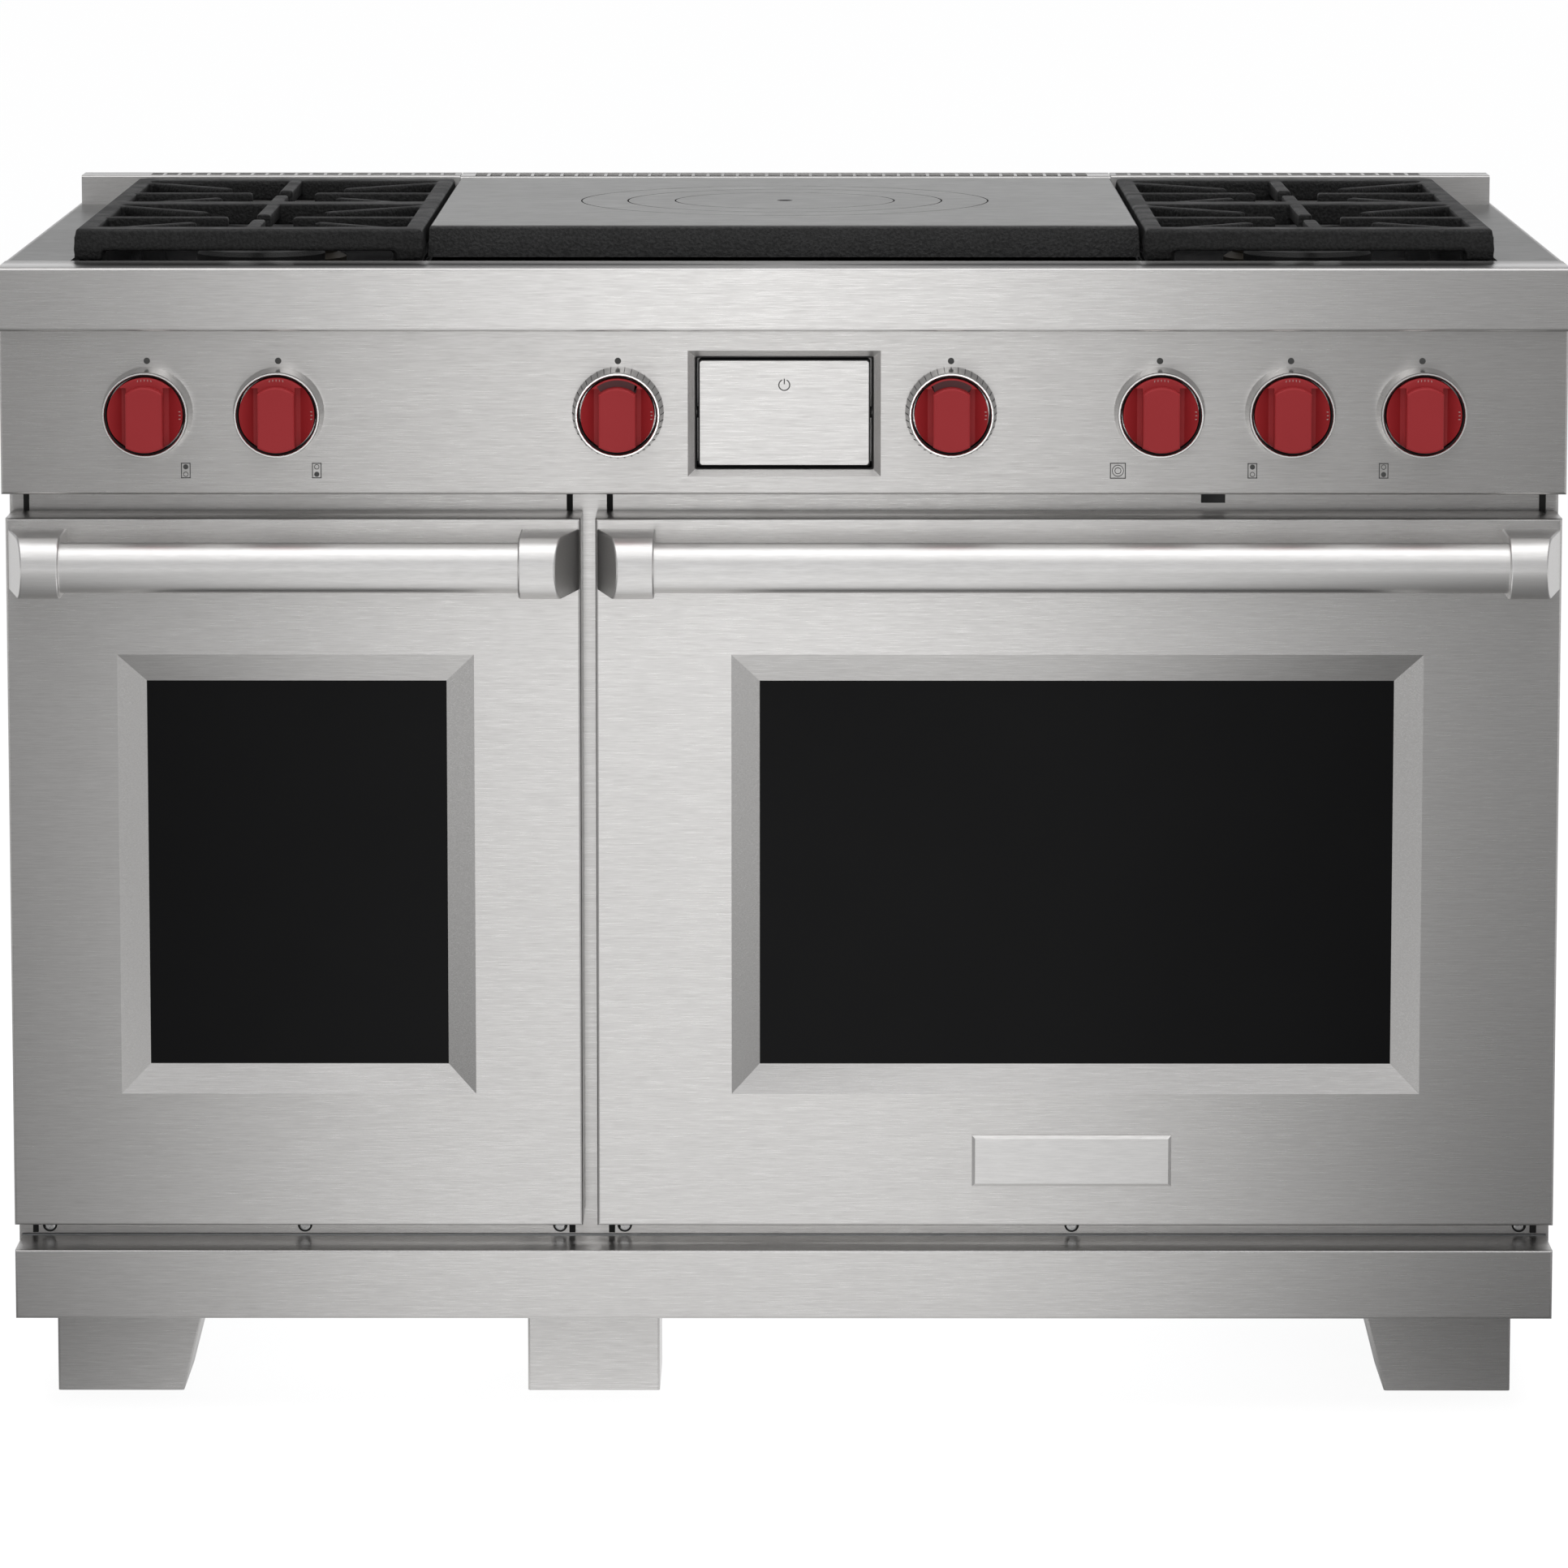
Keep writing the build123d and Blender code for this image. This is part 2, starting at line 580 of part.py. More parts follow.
def diagonal(start, end):
    """Corner finger between two points seen from above, shallower towards its tip."""
    line = Vector(*end) - Vector(*start)
    profile = Polyline((0, CAST_TOP), (line.length, CAST_TOP), (line.length, CAST_TOP - 5.0),
                       (0, CAST_TOP - FINGER_HEIGHT), close=True)
    finger = along_y(make_face(Plane.XZ * profile), (-4.5, 4.5))
    return Pos(start[0], start[1], 0) * Rot(0, 0, degrees(atan2(line.Y, line.X))) * finger


def french_top():
    """Thick cast plate with ring grooves and a lifting hole, hollowed underneath between ribs."""
    half = TOP_HALF
    bottom = CAST_TOP - TOP_THICK
    plate = tapered((-half, half), TOP_Y, (bottom, CAST_TOP), 1.2)
    plate = fillet(edges_at(plate, "Z", CAST_TOP), 3.0)
    for radius in RINGS:
        ring = rod_z(radius + 0.6, 0, RING_Y, (CAST_TOP - 1.5, CAST_TOP + 1))
        plate -= ring - rod_z(radius - 0.6, 0, RING_Y, (CAST_TOP - 2, CAST_TOP + 2))
    middle_y = (TOP_Y[0] + TOP_Y[1]) / 2
    for x in ((-half + 14, -6.0), (6.0, half - 14)):
        for y in ((TOP_Y[0] + 14, middle_y - 6), (middle_y + 6, TOP_Y[1] - 14)):
            plate -= block(x, y, (bottom - 1, bottom + 12))
    return plate - rod_z(6.4, 0, RING_Y, (bottom - 5, CAST_TOP + 5))


def french_top_burner():
    """Ring burner under the French top, on a stem through a bracket on the pan floor."""
    ring = Pos(0, RING_Y, PAN_FLOOR + 14) * Torus(95, 9)
    for x in (-95.0, 95.0):
        ring += rod_z(6.0, x, RING_Y, (PAN_FLOOR, PAN_FLOOR + 8))
    return ring


def slotted_riser(x, y, slots):
    """Upright hollow box with a row of slots through its top."""
    z = (PAN_FLOOR, TOP)
    box = block(x, y, z)
    box = fillet(edges_at(box, "Y", y[0]).filter_by(Axis.X), 1.5)
    box -= block(widen(x, -SHEET), widen(y, -SHEET), (PAN_FLOOR - 5, TOP - SHEET))
    first, last = slots
    count = int((last - first) // SLOT_PITCH) + 1
    for step in range(count):
        slot_x = first + step * SLOT_PITCH
        box -= block((slot_x, slot_x + SLOT), (y[0] + 9, y[1] - 5), (TOP - 5, TOP + 5))
    return box


def risers():
    right = slotted_riser((280.0, 605.8), (RISER_Y, BACK), (285.0, 546.0))
    return [right, mirrored(right)]


def flue_grille():
    return slotted_riser((-279.0, 279.0), (FLUE_Y, BACK), (-267.0, 257.0))


# ---------------------------------------------------------------- ovens

def oven_liner(side):
    """Five-walled oven cavity, open to the front."""
    x = CAVITIES[side]
    shell = block(widen(x, SHEET), (FACE + PLATE, CAVITY_BACK + SHEET), widen(CAVITY_Z, SHEET))
    return shell - block(x, (FACE, CAVITY_BACK), CAVITY_Z)


def rack_guide(x, outward):
    """Wire ladder that stands off one cavity wall, given by its place and outward direction."""
    levels = [RACK_Z + 75.0 * step for step in range(-1, 4)]
    upright_x = x - outward * 4.0
    guide = [rod_y(3.0, x - outward * 9.0, (-225.0, 245.0), z) for z in levels]
    for y in (-190.0, 210.0):
        guide.append(rod_z(3.0, upright_x, y, (levels[0] - 20, levels[-1] + 20)))
        for z in (levels[0] - 10, levels[-1] + 10):
            guide.append(rod_x(3.0, sorted((x, upright_x)), y, z))
    return guide[0].fuse(*guide[1:])


def rack_guides():
    guides = []
    for low, high in CAVITIES.values():
        guides += [rack_guide(low, -1), rack_guide(high, 1)]
    return guides


def rack(side):
    """Wire rack that slides on the guides."""
    low, high = CAVITIES[side]
    z = RACK_Z + 5.9
    x = (low + 11.5, high - 11.5)
    frame = rod_y(3.0, x[0], RACK_Y, z) + rod_y(3.0, x[1], RACK_Y, z)
    for y in RACK_Y:
        frame += rod_x(3.0, x, y, z)
    count = int((x[1] - x[0]) // 24)
    for step in range(1, count):
        wire_x = x[0] + (x[1] - x[0]) * step / count
        frame += rod_y(1.8, wire_x, RACK_Y, z)
    return frame


def oven_burners():
    """Tube burner under the rack and a folded tube broiler under the roof, in each oven."""
    tubes = []
    for low, high in CAVITIES.values():
        x = (low + 45.0, high - 45.0)
        middle = (low + high) / 2
        tubes.append(rod_y(9.0, middle, (-190.0, CAVITY_BACK), CAVITY_Z[0] + 14))
        broiler = rod_x(6.0, x, -170.0, CAVITY_Z[1] - 14)
        for tube_x in x:
            broiler += Pos(tube_x, -170.0, CAVITY_Z[1] - 14) * Sphere(6.5)
            broiler += rod_y(6.0, tube_x, (-170.0, CAVITY_BACK), CAVITY_Z[1] - 14)
        tubes.append(broiler)
    return tubes


# ---------------------------------------------------------------- files

os.makedirs("parts", exist_ok=True)
right_side = side_panel()
save("side_panel_right", right_side)
save("side_panel_left", mirrored(right_side))
save("rear_panel", rear_panel())
save("base_frame", base_frame())
save("kick_panel", kick_panel())
save("legs", *legs())
save("oven_front_left", oven_front("left", (-SIDE_INNER, STILE_X)))
save("oven_front_right", oven_front("right", (STILE_X, SIDE_INNER)))
save("front_seals", *front_seals())
save("front_screws", *[screw(x) for x in SCREWS])
save("hinge_receivers", *[hinge_receiver(x) for pair in HINGES.values() for x in pair])
save("control_panel", control_panel())
save("display_frame", display_frame())
save("display_panel", display_panel())
save("knob_bezels", *[burner_bezel(x) for x in BURNER_KNOBS], *[oven_bezel(x) for x in OVEN_KNOBS])
save("gas_valves", *[gas_valve(x) for x in BURNER_KNOBS])
save("gas_manifold", gas_manifold())
save("oven_controls", *oven_controls())
for number, knob_x in enumerate(BURNER_KNOBS, 1):
    save(f"valve_stem_{number}", valve_stem(knob_x))
    save(f"burner_knob_{number}", burner_knob(knob_x))
for side, knob_x in zip(DOORS, OVEN_KNOBS):
    save(f"oven_knob_{side}", oven_knob(knob_x))
for side in DOORS:
    save(f"door_{side}_skin", door_skin(side))
    save(f"door_{side}_liner", door_liner(side))
    save(f"door_{side}_glass", *door_glass(side))
    save(f"door_{side}_handle", door_handle(side))
    save(f"door_{side}_brackets", *brackets(side))
    save(f"door_{side}_hinges", *[door_hinge(x) for x in HINGES[side]])
    save(f"oven_liner_{side}", oven_liner(side))
    save(f"rack_{side}", rack(side))
save("badge_plate", badge_plate())
save("rack_guides", *rack_guides())
save("oven_burners", *oven_burners())
save("bullnose", bullnose())
save("cooktop_rails", *cooktop_rails())
save("burner_pans", *burner_pans())
save("burners", *burners())
save("burner_caps", *burner_caps())
right_grate = grate()
save("grate_right", right_grate)
save("grate_left", mirrored(right_grate))
save("french_top", french_top())
save("french_top_burner", french_top_burner())
save("risers", *risers())
save("flue_grille", flue_grille())
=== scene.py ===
import bpy
import json
import math
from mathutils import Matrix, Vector


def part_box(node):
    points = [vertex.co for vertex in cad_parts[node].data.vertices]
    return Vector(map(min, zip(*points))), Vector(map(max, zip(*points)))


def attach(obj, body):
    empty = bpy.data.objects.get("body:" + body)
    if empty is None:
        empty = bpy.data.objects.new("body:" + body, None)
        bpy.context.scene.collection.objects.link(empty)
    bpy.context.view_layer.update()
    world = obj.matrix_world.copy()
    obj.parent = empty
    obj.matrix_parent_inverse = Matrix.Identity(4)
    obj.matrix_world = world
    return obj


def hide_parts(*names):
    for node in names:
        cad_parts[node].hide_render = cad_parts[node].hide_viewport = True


# A 48 inch gas range in brushed stainless steel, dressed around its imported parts.
# Metres. +X is to the right of the front, +Y to the back, +Z up.

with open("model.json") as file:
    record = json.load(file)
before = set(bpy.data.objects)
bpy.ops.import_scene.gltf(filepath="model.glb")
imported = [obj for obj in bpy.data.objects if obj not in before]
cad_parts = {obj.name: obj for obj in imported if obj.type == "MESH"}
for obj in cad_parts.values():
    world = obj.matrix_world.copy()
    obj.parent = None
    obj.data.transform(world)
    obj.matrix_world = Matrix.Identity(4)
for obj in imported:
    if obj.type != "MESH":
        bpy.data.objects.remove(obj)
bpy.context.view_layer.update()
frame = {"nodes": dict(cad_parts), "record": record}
parts = frame["nodes"]

# ---------------------------------------------------------------- finishes


def shader_group(name, inputs, outputs):
    """Empty node group with named sockets: each is (name, kind, value)."""
    tree = bpy.data.node_groups.new(name, "ShaderNodeTree")
    for label, kind, value in inputs:
        socket = tree.interface.new_socket(label, in_out="INPUT", socket_type=kind)
        socket.default_value = value
    for label, kind in outputs:
        tree.interface.new_socket(label, in_out="OUTPUT", socket_type=kind)
    source = tree.nodes.new("NodeGroupInput")
    result = tree.nodes.new("NodeGroupOutput")
    return tree, source, result


def add(tree, kind, links=(), **values):
    """New node: its inputs are set by name or number, its settings by attribute."""
    node = tree.nodes.new(kind)
    for key, value in values.items():
        setattr(node, key, value)
    for target, value in dict(links).items():
        if hasattr(value, "is_output"):
            tree.links.new(value, node.inputs[target])
        else:
            node.inputs[target].default_value = value
    return node


def noise(tree, vector, scale, detail=3.0, roughness=0.5):
    node = add(tree, "ShaderNodeTexNoise",
               {"Vector": vector, "Scale": scale, "Detail": detail, "Roughness": roughness})
    return node.outputs["Fac"]


def remap(tree, value, low, high, to_low=0.0, to_high=1.0):
    node = add(tree, "ShaderNodeMapRange", {"Value": value, "From Min": low, "From Max": high,
                                            "To Min": to_low, "To Max": to_high})
    return node.outputs["Result"]


def blend_colors(tree, factor, first, second):
    """Colour between two others, through the colour sockets of a Mix node."""
    return add(tree, "ShaderNodeMix", {0: factor, 6: first, 7: second}, data_type="RGBA").outputs[2]


def blend_numbers(tree, factor, first, second):
    return add(tree, "ShaderNodeMix", {0: factor, 2: first, 3: second}).outputs[0]


def arithmetic(tree, operation, first, second):
    return add(tree, "ShaderNodeMath", {0: first, 1: second}, operation=operation).outputs[0]


VECTOR, COLOR, NUMBER = "NodeSocketVector", "NodeSocketColor", "NodeSocketFloat"


def brushed_grain_group():
    """Long fine scratches along the direction that the stretch makes longest."""
    tree, source, result = shader_group(
        "brushed_grain",
        [("Place", VECTOR, (0, 0, 0)), ("Stretch", VECTOR, (4, 900, 900)),
         ("Light", COLOR, (0.7, 0.7, 0.7, 1)), ("Dark", COLOR, (0.5, 0.5, 0.5, 1)),
         ("Smooth", NUMBER, 0.24), ("Rough", NUMBER, 0.36)],
        [("Color", COLOR), ("Roughness", NUMBER), ("Height", NUMBER)])
    stretched = add(tree, "ShaderNodeVectorMath", {0: source.outputs["Place"], 1: source.outputs["Stretch"]},
                    operation="MULTIPLY").outputs[0]
    fine = noise(tree, stretched, 1.0, 2.0, 0.6)
    streak = noise(tree, stretched, 0.45, 2.0, 0.5)
    cloud = noise(tree, source.outputs["Place"], 5.0, 2.0, 0.5)
    both = arithmetic(tree, "ADD", arithmetic(tree, "MULTIPLY", fine, 0.6),
                      arithmetic(tree, "MULTIPLY", streak, 0.4))
    mask = remap(tree, both, 0.36, 0.64)
    color = blend_colors(tree, mask, source.outputs["Dark"], source.outputs["Light"])
    tree.links.new(color, result.inputs["Color"])
    mixed = arithmetic(tree, "ADD", arithmetic(tree, "MULTIPLY", mask, 0.6),
                       arithmetic(tree, "MULTIPLY", cloud, 0.4))
    rough = add(tree, "ShaderNodeMapRange", {"Value": mixed, "From Min": 0.2, "From Max": 0.8,
                                             "To Min": source.outputs["Rough"],
                                             "To Max": source.outputs["Smooth"]}).outputs["Result"]
    tree.links.new(rough, result.inputs["Roughness"])
    tree.links.new(both, result.inputs["Height"])
    return tree


def cast_skin_group():
    """Pebbled skin of a sand casting with its thick black coating."""
    tree, source, result = shader_group(
        "cast_skin",
        [("Place", VECTOR, (0, 0, 0)), ("Grain", NUMBER, 420.0), ("Low", COLOR, (0.012, 0.012, 0.012, 1)),
         ("High", COLOR, (0.04, 0.04, 0.04, 1))],
        [("Color", COLOR), ("Roughness", NUMBER), ("Height", NUMBER)])
    place = source.outputs["Place"]
    lumps = noise(tree, place, source.outputs["Grain"], 2.5, 0.55)
    broad = noise(tree, place, 38.0, 2.0, 0.5)
    height = arithmetic(tree, "ADD", remap(tree, lumps, 0.35, 0.7),
                        arithmetic(tree, "MULTIPLY", broad, 0.35))
    mask = remap(tree, lumps, 0.35, 0.68)
    tree.links.new(blend_colors(tree, mask, source.outputs["Low"], source.outputs["High"]),
                   result.inputs["Color"])
    tree.links.new(remap(tree, broad, 0.3, 0.7, 0.42, 0.58), result.inputs["Roughness"])
    tree.links.new(height, result.inputs["Height"])
    return tree


def handling_group():
    """Faint wiped and dusty patches: a mask from 0 to 1."""
    tree, source, result = shader_group("handling", [("Place", VECTOR, (0, 0, 0)), ("Size", NUMBER, 9.0)],
                                        [("Mask", NUMBER)])
    patch = noise(tree, source.outputs["Place"], source.outputs["Size"], 4.0, 0.6)
    tree.links.new(remap(tree, patch, 0.35, 0.7), result.inputs["Mask"])
    return tree


GRAIN = brushed_grain_group()
CAST = cast_skin_group()
HANDLING = handling_group()


def material(name, **uniform):
    """Principled material with its uniform values on the shader's own sockets."""
    made = bpy.data.materials.new(name)
    made.use_nodes = True
    tree = made.node_tree
    shader = tree.nodes["Principled BSDF"]
    for label, value in uniform.items():
        shader.inputs[label.replace("_", " ")].default_value = value
    place = tree.nodes.new("ShaderNodeTexCoord")
    return made, tree, shader, place


def effect(tree, group, place, **values):
    """Shared effect placed in a material, where it reads the piece's own coordinates."""
    node = add(tree, "ShaderNodeGroup", {"Place": place.outputs["Object"]}, node_tree=group)
    for label, value in values.items():
        node.inputs[label].default_value = value
    return node


def bump(tree, shader, height, distance):
    node = add(tree, "ShaderNodeBump", {"Height": height, "Distance": distance})
    tree.links.new(node.outputs[0], shader.inputs["Normal"])


GRAIN_DEPTH = 0.0000008      # metres: the brushed scratches are barely felt


def brushed(name, stretch, light, dark, smooth, rough, **uniform):
    """Brushed metal: a larger stretch along an axis makes the scratches shorter along it."""
    made, tree, shader, place = material(name, Metallic=1.0, **uniform)
    grain = effect(tree, GRAIN, place, Stretch=stretch, Light=(*light, 1), Dark=(*dark, 1), Smooth=smooth,
                   Rough=rough)
    tree.links.new(grain.outputs["Color"], shader.inputs["Base Color"])
    tree.links.new(grain.outputs["Roughness"], shader.inputs["Roughness"])
    bump(tree, shader, grain.outputs["Height"], GRAIN_DEPTH)
    return made


def cast(name, grain_size, low, high, depth):
    """Pebbled black casting between two near blacks."""
    made, tree, shader, place = material(name, IOR=1.32)
    skin = effect(tree, CAST, place, Grain=grain_size, Low=(*low, 1), High=(*high, 1))
    tree.links.new(skin.outputs["Color"], shader.inputs["Base Color"])
    tree.links.new(skin.outputs["Roughness"], shader.inputs["Roughness"])
    bump(tree, shader, skin.outputs["Height"], depth)
    return made


def plain(name, clean, worn, smooth, rough, grain_size=60.0, depth=0.0, **uniform):
    """Moulded, coated or machined finish: two near colours and two gloss levels."""
    made, tree, shader, place = material(name, **uniform)
    mask = effect(tree, HANDLING, place).outputs["Mask"]
    tree.links.new(blend_colors(tree, mask, (*clean, 1), (*worn, 1)), shader.inputs["Base Color"])
    tree.links.new(remap(tree, mask, 0, 1, smooth, rough), shader.inputs["Roughness"])
    if depth:
        bump(tree, shader, noise(tree, place.outputs["Object"], grain_size), depth)
    return made


def ground_plate():
    """French top: ground steel grey above, pebbled black casting on every other face."""
    made, tree, shader, place = material("ground_plate")
    skin = effect(tree, CAST, place)
    grain = effect(tree, GRAIN, place, Stretch=(60, 300, 300), Light=(0.50, 0.50, 0.49, 1),
                   Dark=(0.44, 0.44, 0.43, 1), Smooth=0.34, Rough=0.42)
    up = add(tree, "ShaderNodeSeparateXYZ", {0: place.outputs["Normal"]}).outputs[2]
    height = add(tree, "ShaderNodeSeparateXYZ", {0: place.outputs["Object"]}).outputs[2]
    top_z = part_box("french_top")[1].z
    facing = remap(tree, up, 0.80, 0.95)
    level = remap(tree, height, top_z - 0.0012, top_z - 0.0006)      # the ring grooves are deeper: black
    ground = arithmetic(tree, "MULTIPLY", facing, level)
    tree.links.new(blend_colors(tree, ground, skin.outputs["Color"], grain.outputs["Color"]),
                   shader.inputs["Base Color"])
    tree.links.new(ground, shader.inputs["Metallic"])
    tree.links.new(blend_numbers(tree, ground, skin.outputs["Roughness"], grain.outputs["Roughness"]),
                   shader.inputs["Roughness"])
    pebbles = arithmetic(tree, "MULTIPLY", skin.outputs["Height"], remap(tree, ground, 0, 1, 1.0, 0.02))
    bump(tree, shader, pebbles, 0.00025)
    return made


def galvanised():
    """Zinc-coated sheet: faint crystal flakes, each with its own grey and gloss."""
    made, tree, shader, place = material("galvanised", Metallic=0.85)
    flakes = add(tree, "ShaderNodeTexVoronoi", {"Vector": place.outputs["Object"], "Scale": 90.0})
    flake = add(tree, "ShaderNodeSeparateColor", {0: flakes.outputs["Color"]}).outputs[0]
    marks = effect(tree, HANDLING, place).outputs["Mask"]
    mixed = arithmetic(tree, "ADD", arithmetic(tree, "MULTIPLY", flake, 0.7),
                       arithmetic(tree, "MULTIPLY", marks, 0.3))
    tree.links.new(blend_colors(tree, mixed, (0.50, 0.51, 0.52, 1), (0.58, 0.59, 0.60, 1)),
                   shader.inputs["Base Color"])
    tree.links.new(remap(tree, mixed, 0, 1, 0.40, 0.50), shader.inputs["Roughness"])
    return made


STEEL_LIGHT = (0.68, 0.67, 0.66)
STEEL_DARK = (0.56, 0.55, 0.54)
SIDEWAYS = (75, 2600, 2600)             # fine scratches that run from side to side
FRONT_TO_BACK = (2600, 75, 2600)
ALONG_GRAIN = {"Anisotropic": 0.8, "Anisotropic_Rotation": 0.25}

steel = brushed("brushed_steel", SIDEWAYS, STEEL_LIGHT, STEEL_DARK, 0.27, 0.31, **ALONG_GRAIN)
# Control panel: a darker copy of the brushed steel, painted shade for its place under the bullnose.
panel_steel_painted_shade = brushed("panel_steel_painted_shade", SIDEWAYS, (0.60, 0.59, 0.58), (0.49, 0.48, 0.47), 0.27, 0.31,
                      **ALONG_GRAIN)
# Cooktop rails: a much darker copy of the brushed steel, painted shade for the dim surroundings that the
# rails mirror.
rail_steel_painted_shade = brushed("rail_steel_painted_shade", (70, 1500, 1500), (0.30, 0.30, 0.295), (0.26, 0.26, 0.255), 0.3, 0.42)
side_steel = brushed("side_steel", FRONT_TO_BACK, STEEL_LIGHT, STEEL_DARK, 0.30, 0.38)
bright_steel = brushed("bright_steel", (40, 900, 900), (0.80, 0.79, 0.78), (0.70, 0.69, 0.68), 0.14, 0.22)
satin_steel = brushed("satin_steel", (90, 1400, 1400), (0.84, 0.83, 0.82), (0.77, 0.76, 0.75), 0.34, 0.40)
coated_sheet = galvanised()
knob_red = plain("knob_red", (0.46, 0.034, 0.040), (0.43, 0.032, 0.037), 0.40, 0.48, 900.0, 0.00001,
                 IOR=1.32)
black_glass = plain("black_glass", (0.0085, 0.0085, 0.009), (0.0095, 0.0095, 0.010), 0.04, 0.09, IOR=1.17)
mark_grey = plain("mark_grey", (0.085, 0.085, 0.083), (0.07, 0.07, 0.068), 0.5, 0.6, 800.0, 0.00001)
symbol_grey = plain("symbol_grey", (0.13, 0.13, 0.127), (0.11, 0.11, 0.107), 0.45, 0.55, 800.0, 0.00001)
mark_white = plain("mark_white", (0.62, 0.60, 0.58), (0.5, 0.48, 0.46), 0.5, 0.6, 800.0, 0.00001)
smoky = plain("smoky_window", (0.11, 0.040, 0.043), (0.09, 0.034, 0.037), 0.3, 0.4, 500.0, 0.00001,
              IOR=1.3)
enamel = plain("dark_enamel", (0.010, 0.010, 0.011), (0.016, 0.016, 0.017), 0.16, 0.26, 120.0, 0.00006,
               Coat_Weight=0.4, Coat_Roughness=0.1)
cast_iron = cast("cast_iron", 420.0, (0.012, 0.012, 0.012), (0.028, 0.028, 0.028), 0.00035)
cap_iron = cast("cap_iron", 900.0, (0.01, 0.01, 0.01), (0.02, 0.02, 0.02), 0.00015)
plate_iron = ground_plate()
plated = plain("plated_steel", (0.62, 0.62, 0.62), (0.55, 0.55, 0.55), 0.15, 0.28, Metallic=1.0)
brass = plain("burner_brass", (0.085, 0.075, 0.06), (0.06, 0.054, 0.045), 0.4, 0.55, 200.0, 0.00005,
              Metallic=0.7)
pipe_black = plain("gas_pipe", (0.05, 0.05, 0.052), (0.08, 0.078, 0.075), 0.4, 0.6, 300.0, 0.00008)
seal_black = plain("seal_black", (0.012, 0.012, 0.012), (0.02, 0.02, 0.02), 0.6, 0.8, 500.0, 0.00005)
control_black = plain("control_plastic", (0.02, 0.02, 0.021), (0.03, 0.03, 0.031), 0.35, 0.5, 400.0,
                      0.00003)

FINISHES = {
    "brushed_steel": steel, "side_steel": side_steel, "galvanised": coated_sheet,
    "polished_trim": bright_steel, "plated_steel": plated, "knob_red": knob_red, "black_glass": black_glass,
    "oven_enamel": enamel, "cast_iron": cast_iron, "burner_brass": brass, "gas_pipe": pipe_black,
    "seal_black": seal_black, "control_plastic": control_black,
}


def paint(piece, finish):
    piece.data.materials.clear()
    piece.data.materials.append(finish)


for row in frame["record"]["subparts"]:
    paint(parts[row["node"]], FINISHES[row["material_slot"]])
paint(parts["french_top"], plate_iron)
paint(parts["burner_caps"], cap_iron)
# The darker copies of the steel on the rails and the control panel are painted shade.
paint(parts["cooktop_rails"], rail_steel_painted_shade)
paint(parts["control_panel"], panel_steel_painted_shade)
paint(parts["badge_plate"], satin_steel)
for door in ("left", "right"):
    paint(parts[f"door_{door}_handle"], satin_steel)
    paint(parts[f"door_{door}_brackets"], satin_steel)

# ---------------------------------------------------------------- shaping tools

MM = 0.001
SHARP = math.radians(35)     # a steeper edge between two faces counts as a corner


def clear():
    """Leave edit mode with nothing selected."""
    if bpy.context.object and bpy.context.object.mode != "OBJECT":
        bpy.ops.object.mode_set(mode="OBJECT")
    bpy.ops.object.select_all(action="DESELECT")


def take(piece):
    """Select this piece alone, in object mode."""
    clear()
    piece.select_set(True)
    bpy.context.view_layer.objects.active = piece


def settle(piece, name):
    """Name a new primitive and move its place and turn into its mesh."""
    piece.name = name
    piece.data.name = name
    take(piece)
    bpy.ops.object.transform_apply(location=True, rotation=True, scale=True)
    return piece


def edit_all(piece):
    take(piece)
    bpy.ops.object.mode_set(mode="EDIT")
    bpy.ops.mesh.select_all(action="SELECT")


def edit_faces(piece, wanted):
    """Edit mode with just the faces that wanted(face) picks."""
    take(piece)
    bpy.ops.object.mode_set(mode="EDIT")
    bpy.ops.mesh.select_mode(type="FACE")
    bpy.ops.mesh.select_all(action="DESELECT")
    bpy.ops.object.mode_set(mode="OBJECT")
    for face in piece.data.polygons:
        face.select = wanted(face)
    bpy.ops.object.mode_set(mode="EDIT")


def done(piece):
    """Back to object mode with the piece as it stands."""
    take(piece)
    return piece


def apply_modifier(piece, kind, **settings):
    take(piece)
    change = piece.modifiers.new(kind.lower(), kind)
    for key, value in settings.items():
        setattr(change, key, value)
    bpy.ops.object.modifier_apply(modifier=change.name)


def ease(piece, width):
    """Round every sharp edge in two steps."""
    apply_modifier(piece, "BEVEL", width=width, segments=2, limit_method="ANGLE", angle_limit=SHARP)


def slab(name, low, high, rounding=0.0):
    """Block between two corners, with its edges rounded."""
    clear()
    low, high = Vector(low), Vector(high)
    bpy.ops.mesh.primitive_cube_add(size=1, location=(low + high) / 2)
    piece = bpy.context.active_object
    piece.scale = high - low
    settle(piece, name)
    if rounding:
        ease(piece, rounding)
    return piece


TURN = {"X": (0, math.pi / 2, 0), "Y": (math.pi / 2, 0, 0)}


def disc(name, centre, radius, depth, axis="Y", sides=32, rounding=0.0):
    """Button-like disc with a rounded rim."""
    clear()
    bpy.ops.mesh.primitive_cylinder_add(vertices=sides, radius=radius, depth=depth, location=centre,
                                        rotation=TURN[axis])
    piece = settle(bpy.context.active_object, name)
    if rounding:
        ease(piece, rounding)
    return piece


def washer(name, centre, inner, outer, depth, sides=48):
    """Flat ring facing the front: a circle widened by an extrusion and given its thickness."""
    clear()
    bpy.ops.mesh.primitive_circle_add(vertices=sides, radius=inner, location=centre, rotation=TURN["Y"])
    piece = settle(bpy.context.active_object, name)
    edit_all(piece)
    bpy.ops.mesh.extrude_edges_move()
    bpy.ops.transform.resize(value=(outer / inner,) * 3, center_override=centre)
    clear()
    apply_modifier(piece, "SOLIDIFY", thickness=depth, offset=0.0)
    edit_all(piece)
    bpy.ops.mesh.normals_make_consistent(inside=False)
    return done(piece)


def repeat_around(piece, count, centre, axis):
    """Copies of the whole mesh, evenly spaced round an axis."""
    edit_all(piece)
    bpy.ops.mesh.spin(steps=count - 1, dupli=True, angle=2 * math.pi * (count - 1) / count,
                      center=centre, axis=axis)
    return done(piece)


